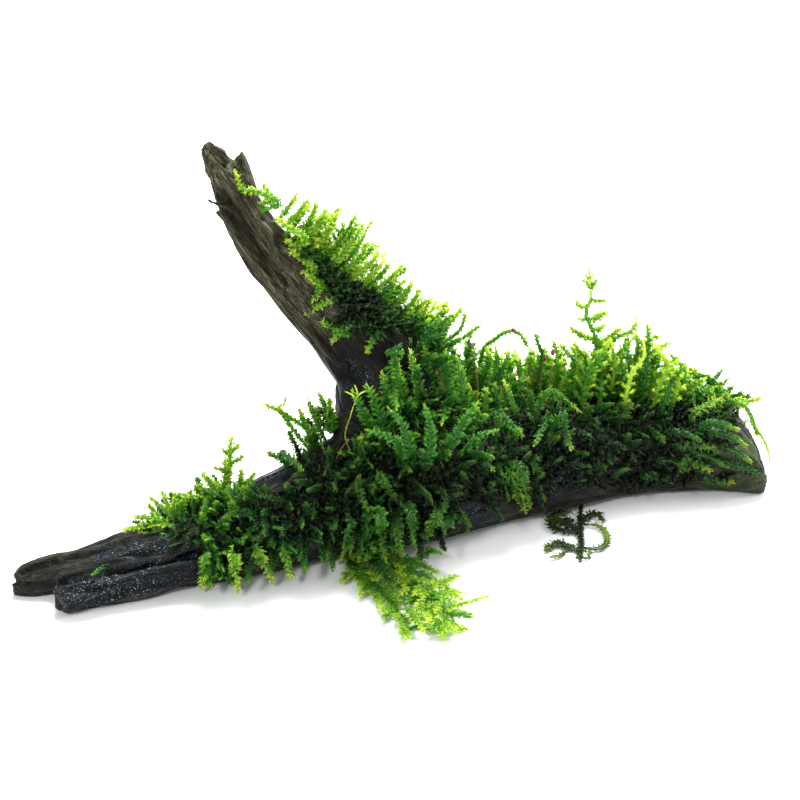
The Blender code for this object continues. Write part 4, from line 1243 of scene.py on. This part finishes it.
def sprig_path(sprig, tuft):
    """The path of a sprig in mm, from its places in the picture."""
    corners = []
    depth = tuft.depth
    for u, v in sprig.corners:
        if sprig.depth is not None:
            corners.append(at_depth(u, v, sprig.depth))
            continue
        spot = wood_at(u, v) if tuft.node in ("moss_limb_upper", "moss_limb_lower") else None
        spot = seen_point(u, v) if spot is None else spot
        if spot is None:
            spot = at_depth(u, v, depth)
        else:
            depth = spot.y
        corners.append(spot + (CAMERA_PLACE - spot).normalized() * OFF_GROUND)
    return np.array([tuple(c) for c in corners])


def pattern_for(length, blunt=False):
    """One of the frond patterns whose length is nearest, and for a blunt one no wide frond."""
    index = int(np.argmin([abs(length - known) for known in PATTERN_LENGTHS]))
    return patterns[3 * index + draw.integers(1 if blunt else 0, 3)]


def rooted(corners):
    """A frond's corners, with a root on the wood put first where they start off it."""
    foot, normal, away = nearest(wood_tree, corners[0])
    return np.vstack((foot - normal * ROOT_DEPTH, corners)) if away > LOOSE_FROM else np.array(corners)


def facing_of(root, way):
    """Where the flat side of a frond looks: away from the wood's middle and upwards, never along its way."""
    in_front = root[1] < log_middle(root[0], 1) + 8
    out = np.array((0.0, -1.0 if in_front else 1.0, 0.4)) + draw.normal(0, 0.45, 3)
    return unit(out - way * (out @ way))


print("patterns of fronds:", len(patterns), "and of short shoots:", len(short_patterns))

# %% Sprigs and their side shoots
WIDE_SIDE = 3.4  # mm: side stems from this length on stand wider apart
THIN_WIDTH = 0.7  # below this width a sprig keeps its thickness
SPRIG_TURN, SHOOT_TURN = 170, 220  # mm that the place they face strays from the camera


def add_sprigs(growth, tuft):
    """Adds the sprigs of a tuft that are drawn one by one."""
    for row in SPRIGS.get(tuft.node, ()):
        sprig = Sprig(*row)
        corners = sprig_path(sprig, tuft)
        root = nearest(wood_tree, corners[0])[0]
        path = smooth_path(rooted(corners), 20)
        length = length_of(path)
        toward = np.array(CAMERA_PLACE - Vector(path[len(path) // 2]))
        step = CLOSE_SIDE_STEP if sprig.side < WIDE_SIDE else SIDE_STEP
        twig = frond(length, sprig.side, step) if sprig.side else feather(length)
        dark = 0.7 * darkness(root, 0.0) * (1 - sprig.young) if sprig.depth is None else 0.0
        facing = toward + draw.normal(0, SPRIG_TURN, 3)
        places = lay_along(twig, path, facing, sprig.width, 2.0 if sprig.width < THIN_WIDTH else 1.0)
        growth.add(twig, places, sprig.young, dark, draw.uniform(-0.08, 0.1))


def add_shoots(growth, tuft):
    """Adds the side shoots of a tuft's sprigs."""
    for row in SHOOTS.get(tuft.node, ()):
        shoot = Sprig(*row)
        path = smooth_path(sprig_path(shoot, tuft), 10)
        length = length_of(path)
        twig = frond(length, shoot.side, CLOSE_SIDE_STEP) if shoot.side else leafy_stem(length, young_from=0.1)
        facing = np.array(CAMERA_PLACE - Vector(path[0])) + draw.normal(0, SHOOT_TURN, 3)
        places = lay_along(twig, path, facing, shoot.width)
        growth.add(twig, places, shoot.young, 0.0, draw.uniform(-0.05, 0.05))


print("tufts with sprigs:", len(SPRIGS), "and with side shoots:", len(SHOOTS))

# %% Rows of upright fronds
Ridge = namedtuple("Ridge", "tuft side tops foot depth step young spread side_step loose",
                   defaults=(10.0, CLOSE_SIDE_STEP, 2.0))
RIDGES = (  # where their tips are seen, and from there to the root
    Ridge("moss_limb_upper", 2.0, ((300, 203), (322, 212), (345, 216), (368, 228)),
          (-18, 30), -3, 6.0, 0.9, 5.0),
    Ridge("moss_limb_lower", 2.0, ((372, 234), (396, 268), (424, 294), (450, 308), (464, 314)),
          (-22, 26), -2, 6.0, 0.9, 5.0),
    Ridge("moss_crown", 2.6, ((392, 346), (425, 346), (450, 344), (480, 338), (498, 346)),
          (-3, 34), 2, 6.0, 0.4),
    Ridge("moss_crown", 2.4, ((400, 352), (450, 350), (500, 350)), (-2, 30), 12, 6.0, 0.6),
    Ridge("moss_right", 2.4, ((500, 348), (530, 344), (560, 344), (600, 338), (640, 334),
                              (664, 342), (690, 366)), (0, 34), 12, 7.0, 0.9, 14.0, SIDE_STEP, 3.0),
    Ridge("moss_right", 2.6, ((506, 352), (560, 350), (600, 346), (650, 344), (694, 374)),
          (2, 32), 19, 7.0, 0.8, 14.0, SIDE_STEP, 6.0),
    Ridge("moss_right_end", 2.0, ((692, 376), (706, 386), (722, 386), (738, 398)), (-6, 20), 18, 5.0, 0.7),
    Ridge("moss_left_limb", 1.8, ((186, 508), (202, 492), (225, 480), (246, 486)), (3, 26), -28, 5.0, 0.5),
    Ridge("moss_centre_left", 1.8, ((284, 452), (300, 424), (316, 406), (334, 404)), (6, 26), -12, 5.0, 0.3),
)
PATTERN_SHARE = 0.3  # share of the fronds in a row that are a pattern and not a frond of their own


def add_ridge(growth, ridge):
    """Adds a row of upright fronds."""
    tops = np.array(ridge.tops, float)
    for u in np.arange(tops[0, 0], tops[-1, 0], ridge.step):
        v = np.interp(u, tops[:, 0], tops[:, 1]) + abs(draw.normal(0, 6))
        share = draw.uniform(0.75, 1.1)
        tip = (u + draw.normal(0, 6), v)
        root = (u + ridge.foot[0] * share + draw.normal(0, ridge.spread), v + ridge.foot[1] * share)
        middle = ((tip[0] + root[0]) / 2 + draw.normal(0, 3), (tip[1] + root[1]) / 2 - 2)
        depths = ridge.depth + draw.uniform(-1, 1) * ridge.loose + draw.normal(0, 2, 3)
        corners = [tuple(at_depth(*place, depth)) for place, depth in zip((root, middle, tip), depths)]
        path = smooth_path(rooted(corners), 12)
        length = length_of(path)
        if draw.uniform() < PATTERN_SHARE:
            twig = pattern_for(length)
        else:
            twig = frond(length, ridge.side * draw.uniform(0.7, 1.2), ridge.side_step)
        toward = np.array(CAMERA_PLACE) - path[0] + draw.normal(0, 160, 3)
        young = ridge.young * draw.uniform(0.3, 1.1)
        growth.add(twig, lay_along(twig, path, toward), young, 0.0, draw.uniform(-0.1, 0.08))


print("rows of upright fronds:", len(RIDGES))

# %% Moss over wood that the mats leave bare
Fill = namedtuple("Fill", "tuft u0 v0 u1 v1 fronds shoots")
FILLS = (  # a box in the picture, and how much grows in it
    Fill("moss_fork", 366, 396, 452, 450, 30, 70),
    Fill("moss_crown", 404, 346, 470, 400, 26, 50),
    Fill("moss_crown", 455, 456, 545, 506, 8, 90),
    Fill("moss_right", 540, 446, 680, 488, 10, 150),
    Fill("moss_right_end", 672, 400, 735, 482, 4, 50),
    Fill("moss_centre_left", 330, 470, 440, 545, 6, 110),
)


def add_fill(growth, tuft, fill):
    """Covers a place of the picture with fronds and short shoots of a tuft."""
    for i in range(fill.fronds + fill.shoots):
        spot = seen_on(wood_tree, draw.uniform(fill.u0, fill.u1), draw.uniform(fill.v0, fill.v1))
        if spot is None:
            continue
        root, normal = np.array(spot[0]), np.array(spot[1])
        long = i < fill.fronds
        length = draw.uniform(*tuft.lengths) * 0.9 if long else draw.uniform(3, 6)
        way = unit(normal * (0.6 if long else 1.0) + np.array(tuft.lean) + draw.normal(0, 0.35, 3))
        path = arched(root - normal * 0.4, way, length, draw.uniform(0.02, 0.2))
        if path[-1][0] > RIGHT_LIMIT or path[-1][2] < LOWEST_TIP:
            continue
        twig = pattern_for(length, tuft.blunt) if long else short_patterns[draw.integers(len(short_patterns))]
        dark = darkness(root, tuft.dark) * (0.6 if long else 1.0) + (0.0 if long else 0.3)
        places = lay_along(twig, path, facing_of(root, way))
        growth.add(twig, places, 0.05, min(1.0, dark), draw.uniform(-0.1, 0.1))


print("places filled:", len(FILLS))

# %% The short shoots of a mat
SHORT_MARGIN = 5  # mm that short shoots stay farther from the right end than fronds
SHOOT_DARK, SHOOT_DARKEST = 0.38, 0.9  # short shoots are old and dark everywhere


def add_short_shoots(growth, tuft, bed, limit):
    """Adds short dark shoots all over a tuft's bed, until it has so many faces."""
    roots = []
    while growth.face_count < limit:
        root, normal = root_on(*bed, roots)
        way = unit(normal + draw.normal(0, 0.55, 3))
        twig = short_patterns[draw.integers(len(short_patterns))]
        path = arched(root - normal * 0.4, way, twig.length * draw.uniform(0.8, 1.1), 0.15)
        if path[-1][0] > RIGHT_LIMIT - SHORT_MARGIN or path[-1][2] < LOWEST_TIP:
            continue
        places = lay_along(twig, path, draw.normal(0, 1, 3))
        dark = min(SHOOT_DARKEST, SHOOT_DARK + darkness(root, tuft.dark))
        growth.add(twig, places, 0.0, dark, draw.uniform(-0.2, 0.08))


print("darkness of short shoots, from and to:", SHOOT_DARK, SHOOT_DARKEST)

# %% The fronds of a mat
THINNING = 0.92  # share of the fronds that dark places lack
WAY_TRIES = 6
FAR_OUT = 2.6  # mm that a frond may end outside the tuft's form
ABOVE_WOOD = 1.0  # mm that its tip stands off the wood at least
LIGHT_FROM, LIGHT_OVER = 8, 28  # mm: higher than this over the tuft's lowest roots, fronds get painted light


def fits(tip, tuft):
    """Whether a frond may end there: above the wood, not too low, and inside the tuft's form."""
    wood_spot, wood_normal, _ = nearest(wood_tree, tip)
    form_spot, form_normal, form_away = nearest(moss_trees[tuft.node], tip)
    above_wood = (tip - wood_spot) @ wood_normal > ABOVE_WOOD and tip[2] > tuft.lowest * 0.6
    in_form = form_away < FAR_OUT or (tip - form_spot) @ form_normal < 0
    return above_wood and in_form and tip[0] < RIGHT_LIMIT


def frond_path(root, normal, tuft):
    """The path, way and length of a frond that fits its tuft, or None after a few tries."""
    length = draw.uniform(*tuft.lengths)
    lean = np.array(tuft.lean)
    for _ in range(WAY_TRIES):
        way = unit(normal * draw.uniform(0.5, 1.1) + lean * draw.uniform(0.5, 1.2) + draw.normal(0, 0.36, 3))
        path = arched(root - normal * ROOT_DEPTH, way, length, draw.uniform(0.02, 0.25))
        if fits(path[-1], tuft):
            return path, way, length
        length = max(4.0, length * 0.88)
    return None


def add_fronds(growth, tuft, bed):
    """Adds the fronds of a tuft's bed, until the tuft has all its faces."""
    roots = []
    while growth.face_count < tuft.faces:
        root, normal = root_on(*bed, roots)
        if in_any(root, thin_spots) or draw.uniform() < THINNING * darkness(root, 0.0):
            continue
        found = frond_path(root, normal, tuft)
        if found is None:
            continue
        path, way, length = found
        twig = pattern_for(length, tuft.blunt)
        # painted light: the higher a frond's tip stands, the lighter its colour, as if more lit from above
        light = float(eased((path[-1][2] - tuft.lowest - LIGHT_FROM) / LIGHT_OVER)) * 0.34 - 0.03
        dark = darkness(root, tuft.dark * 0.6) * draw.uniform(0.5, 1.0)
        facing = facing_of(root, way)
        places = lay_along(twig, path, facing, draw.uniform(0.85, 1.1))
        young = draw.uniform(0, 0.25) * (1 - dark)
        growth.add(twig, places, young, dark, light - 0.15 * dark + draw.uniform(-0.1, 0.1))


def grow_tuft(tuft):
    """Grows one tuft, and returns its piece."""
    growth = Growth()
    add_sprigs(growth, tuft)
    add_shoots(growth, tuft)
    for ridge in RIDGES:
        if ridge.tuft == tuft.node:
            add_ridge(growth, ridge)
    bed = bed_of(tuft.node, tuft.lowest)
    add_short_shoots(growth, tuft, bed, growth.face_count + (tuft.faces - growth.face_count) * tuft.short)
    for fill in FILLS:
        if fill.tuft == tuft.node:
            add_fill(growth, tuft, fill)
    add_fronds(growth, tuft, bed)
    return growth.piece(tuft.node.replace("moss_", "java_moss_"), moss_leaves, "moss", tuft.node)


print("tufts to grow:", len(TUFTS))

# %% All the tufts on the wood
tufts = [grow_tuft(tuft) for tuft in TUFTS]
print("faces of the tufts:", sum(len(piece.data.polygons) for piece in tufts))

# %% [markdown]
# ## Sprigs that trail on the floor
#
# In front of the wood two sprigs lie on the ground. The left one is a fresh, bright mat of several
# stems with stubby side shoots. The right one is a thin, dark and old sprig with curled side stems.
# Both are bent along paths on the floor, and each lies on the stem under it.

# %% The trailing sprigs
LOBE_STEP = 2.0  # mm of stem for each stubby side shoot
Runner = namedtuple("Runner", "side corners height width young dark lobes", defaults=(1.1, 0.35, 0.0, False))
FRONT_RUNNERS = (
    Runner(3.0, ((338, 548), (362, 572), (388, 598), (404, 622), (409, 638)), 1.6, 1.0, 0.3, 0.0, True),
    Runner(3.0, ((352, 546), (384, 568), (412, 590), (432, 616), (447, 640)), 2.2, 1.1, 0.1, 0.0, True),
    Runner(3.0, ((362, 545), (394, 566), (422, 588), (440, 606), (456, 622)), 3.0, 1.1, 0.1, 0.0, True),
    Runner(2.6, ((372, 545), (405, 566), (434, 582), (452, 590), (467, 594)), 3.2, 1.1, 0.2),
    Runner(2.6, ((410, 596), (432, 610), (450, 622), (469, 630)), 2.6, 1.0, 0.4),
    Runner(2.6, ((344, 556), (362, 580), (376, 596), (384, 613)), 1.8, 1.0, 0.4),
    Runner(2.4, ((360, 552), (345, 556), (334, 561)), 2.4, 1.1, 0.5),
    Runner(2.4, ((366, 562), (350, 572), (341, 583)), 2.0, 1.1, 0.5),
    Runner(2.4, ((376, 576), (366, 588), (358, 596)), 2.0, 1.0, 0.5),
    Runner(2.6, ((385, 556), (404, 560), (424, 566), (438, 574)), 4.0, 1.0, 0.2),
    Runner(2.4, ((412, 556), (428, 552), (443, 553)), 4.4, 1.0, 0.1),
    Runner(2.4, ((420, 588), (442, 582), (459, 576)), 3.6, 1.1, 0.6),
    Runner(2.4, ((424, 596), (444, 592), (464, 600)), 3.4, 1.1, 0.6),
    Runner(0.9, ((446, 606), (462, 604), (476, 600), (489, 595)), 2.4, 0.8, 0.7),
    Runner(2.6, ((380, 552), (386, 576), (398, 600)), 4.6, 1.1, 0.1, 0.3),
    Runner(2.6, ((366, 550), (384, 570), (404, 582)), 5.4, 1.1, 0.1, 0.3),
    Runner(2.4, ((404, 600), (414, 618), (424, 632)), 3.6, 1.0, 0.5),
    Runner(2.4, ((434, 612), (444, 626), (440, 638)), 2.6, 1.0, 0.6),
)
DARK_RUNNERS = (
    Runner(1.0, ((582, 500), (580, 520), (581, 542), (580, 562)), 0.9, 1.0, 0.1, 0.2),
    Runner(0.0, ((580, 532), (568, 531), (556, 529), (551, 521), (556, 514), (572, 512)), 1.0, 2.7, 0.1, 0.3),
    Runner(0.0, ((578, 526), (566, 524), (556, 518)), 1.2, 2.9, 0.1, 0.4),
    Runner(0.0, ((574, 519), (563, 520), (557, 524)), 0.8, 2.6, 0.1, 0.5),
    Runner(0.0, ((580, 524), (588, 516), (597, 514), (604, 522)), 1.0, 2.4, 0.1, 0.3),
    Runner(0.0, ((581, 546), (594, 549), (605, 545), (607, 534), (599, 526), (588, 524)), 1.0, 2.2, 0.5, 0.0),
    Runner(1.4, ((580, 552), (568, 546), (556, 544), (545, 550)), 1.0, 1.4, 0.3, 0.1),
    Runner(0.0, ((566, 550), (558, 556), (549, 557)), 1.0, 1.6, 0.4, 0.0),
    Runner(0.0, ((580, 556), (588, 558), (590, 550)), 1.0, 1.2, 0.3, 0.1),
)


def add_lobes(growth, path, length):
    """Adds stubby side shoots that stand off a stem on the floor."""
    ahead = unit(path[-1] - path[0])
    for place in np.arange(3.0, length - 3, LOBE_STEP):
        shares = np.linspace(0, 1, len(path))
        spot = np.array([np.interp(place / length, shares, path[:, k]) for k in range(3)])
        swing = draw.choice((-1, 1)) * draw.uniform(0.5, 1.2)
        way = np.array((ahead[0] * math.cos(swing) - ahead[1] * math.sin(swing),
                        ahead[0] * math.sin(swing) + ahead[1] * math.cos(swing), draw.uniform(0.0, 0.25)))
        lobe = arched(spot + (0, 0, 0.6), way, draw.uniform(3.5, 6.5), 0.15)
        leafy = close_frond(6.0)
        places = lay_along(leafy, lobe, (0, -0.3, 1), 0.9, 0.6)
        growth.add(leafy, places, draw.uniform(0.4, 1.0), 0.0, draw.uniform(-0.1, 0.1))


def lay_runners(name, node, runners, material, slot_name):
    """One piece of all the stems that lie on the floor."""
    growth = Growth()
    for runner in runners:
        path = np.array([tuple(at_height(u, v, runner.height)) for u, v in runner.corners])
        path[0][2] = path[0][2] * 0.6
        path = smooth_path(path, 20)
        length = length_of(path)
        if runner.side:
            twig = frond(length, runner.side, CLOSE_SIDE_STEP)
        else:
            twig = leafy_stem(length, 0.95, 0.2, 0.42, 0.7)
        places = lay_along(twig, path, (0, -0.25, 1), runner.width, 0.6)
        growth.add(twig, places, runner.young + 0.2, runner.dark, draw.uniform(-0.05, 0.1))
        if runner.lobes:
            add_lobes(growth, path, length)
    return growth.piece(name, material, slot_name, node)


lay_runners("java_moss_trailing_front", "moss_trailing_front", FRONT_RUNNERS, moss_leaves, "moss")
lay_runners("java_moss_trailing_dark", "moss_trailing_dark", DARK_RUNNERS, dark_leaves, "dark_moss")

# %% [markdown]
# ## Spore capsules
#
# Java moss bears small brown capsules on wiry, reddish stalks. A capsule is a plain egg, 1.45 mm long
# at size 1. One is modelled from a stretched sphere and copied to the tip of each stalk, with its middle
# a little past the tip, so that the stalk ends inside it. The short beak of a real capsule is left out.
# A stalk is a thin tapered stem along its own path. It starts on the wood behind the place where it goes
# into the tuft, because its foot is hidden there.

# %% Model a capsule and set the stalks
bpy.ops.object.select_all(action="DESELECT")
bpy.ops.mesh.primitive_uv_sphere_add(segments=8, ring_count=6, radius=0.5, scale=(1.0, 1.0, 1.45))
capsule = bpy.context.object
bpy.ops.object.transform_apply(location=True, rotation=True, scale=True)
PAST_TIP = 0.2  # mm: how far the middle of a capsule is past the tip of its stalk
bpy.ops.object.mode_set(mode="EDIT")
bpy.ops.mesh.select_all(action="SELECT")
bpy.ops.transform.translate(value=(0, 0, PAST_TIP))
bpy.ops.mesh.quads_convert_to_tris()
bpy.ops.object.mode_set(mode="OBJECT")
capsule_points = read_points(capsule.data)[:, (2, 0, 1)] * MM
capsule_faces = np.array([tuple(face.vertices) for face in capsule.data.polygons])
capsule_length = float(np.ptp(capsule_points[:, 0]))
bpy.data.objects.remove(capsule)

Stalk = namedtuple("Stalk", "corners depth size")
STALKS = (
    Stalk(((478, 402), (477, 375), (471, 346)), -12, 1.25),
    Stalk(((534, 376), (524, 350), (519, 338), (514, 331)), 6, 1.2),
    Stalk(((549, 386), (551, 368), (553, 353)), 2, 1.45),
    Stalk(((541, 376), (543, 366), (545, 358)), 4, 1.25),
    Stalk(((604, 385), (607, 366), (609, 349)), 13, 1.1),
    Stalk(((445, 392), (442, 382), (437, 373)), -16, 1.0),
    Stalk(((336, 460), (341, 449), (347, 441)), -30, 0.9),
)
stalks = Growth()
egg = Twig(capsule_points, capsule_faces, np.ones(len(capsule_points)), capsule_length)
for stalk in STALKS:
    seen = [tuple(at_depth(u, v, stalk.depth)) for u, v in stalk.corners]
    foot = seen_on(wood_tree, *stalk.corners[0])
    path = smooth_path([foot[0] if foot else nearest(wood_tree, seen[0])[0]] + seen, 12)
    length = length_of(path)
    stem_places, stem_faces = stem_rings(length, 0.32, 0.32, 3, 1.0, 0.7)
    stem = Twig(stem_places, stem_faces, np.zeros(len(stem_places)), length)
    stalks.add(stem, lay_along(stem, path, (0.2, -1, 0.3)), 0.0, 0.0, 0.0)
    way = unit(path[-1] - path[-2])
    end = np.array((path[-1], path[-1] + way * capsule_length * stalk.size))
    stalks.add(egg, lay_along(egg, smooth_path(end, 4), (0.2, -1, 0.3), stalk.size), 1.0, 0.0, 0.0)
print("capsules:", len(STALKS), "each", round(capsule_length, 2), "mm long")

# %% Ripe spore capsules
capsule_brown = new_material("ripe_spore_capsules")
egg_share = add_node(capsule_brown, "SeparateXYZ", {0: stored(capsule_brown, "growth")}).outputs[0]
grown = add_node(capsule_brown, "TexCoord").outputs["Object"]
mottle = add_node(capsule_brown, "TexNoise", {"Vector": grown, "Scale": 1500.0, "Detail": 2.0})
mottled = add_node(capsule_brown, "ValToRGB", {0: mottle.outputs[0]}, stops=(
    (0.35, "#2E1A0E"), (0.65, "#6A4022")))
brown = over(capsule_brown, linear("#70461E"), egg_share, mottled.outputs[0])
capsule_shader = add_node(capsule_brown, "BsdfPrincipled", {"Base Color": brown, "Roughness": 0.35})
add_node(capsule_brown, "OutputMaterial", {"Surface": capsule_shader.outputs[0]})
stalks.piece("spore_capsules", capsule_brown, "moss")
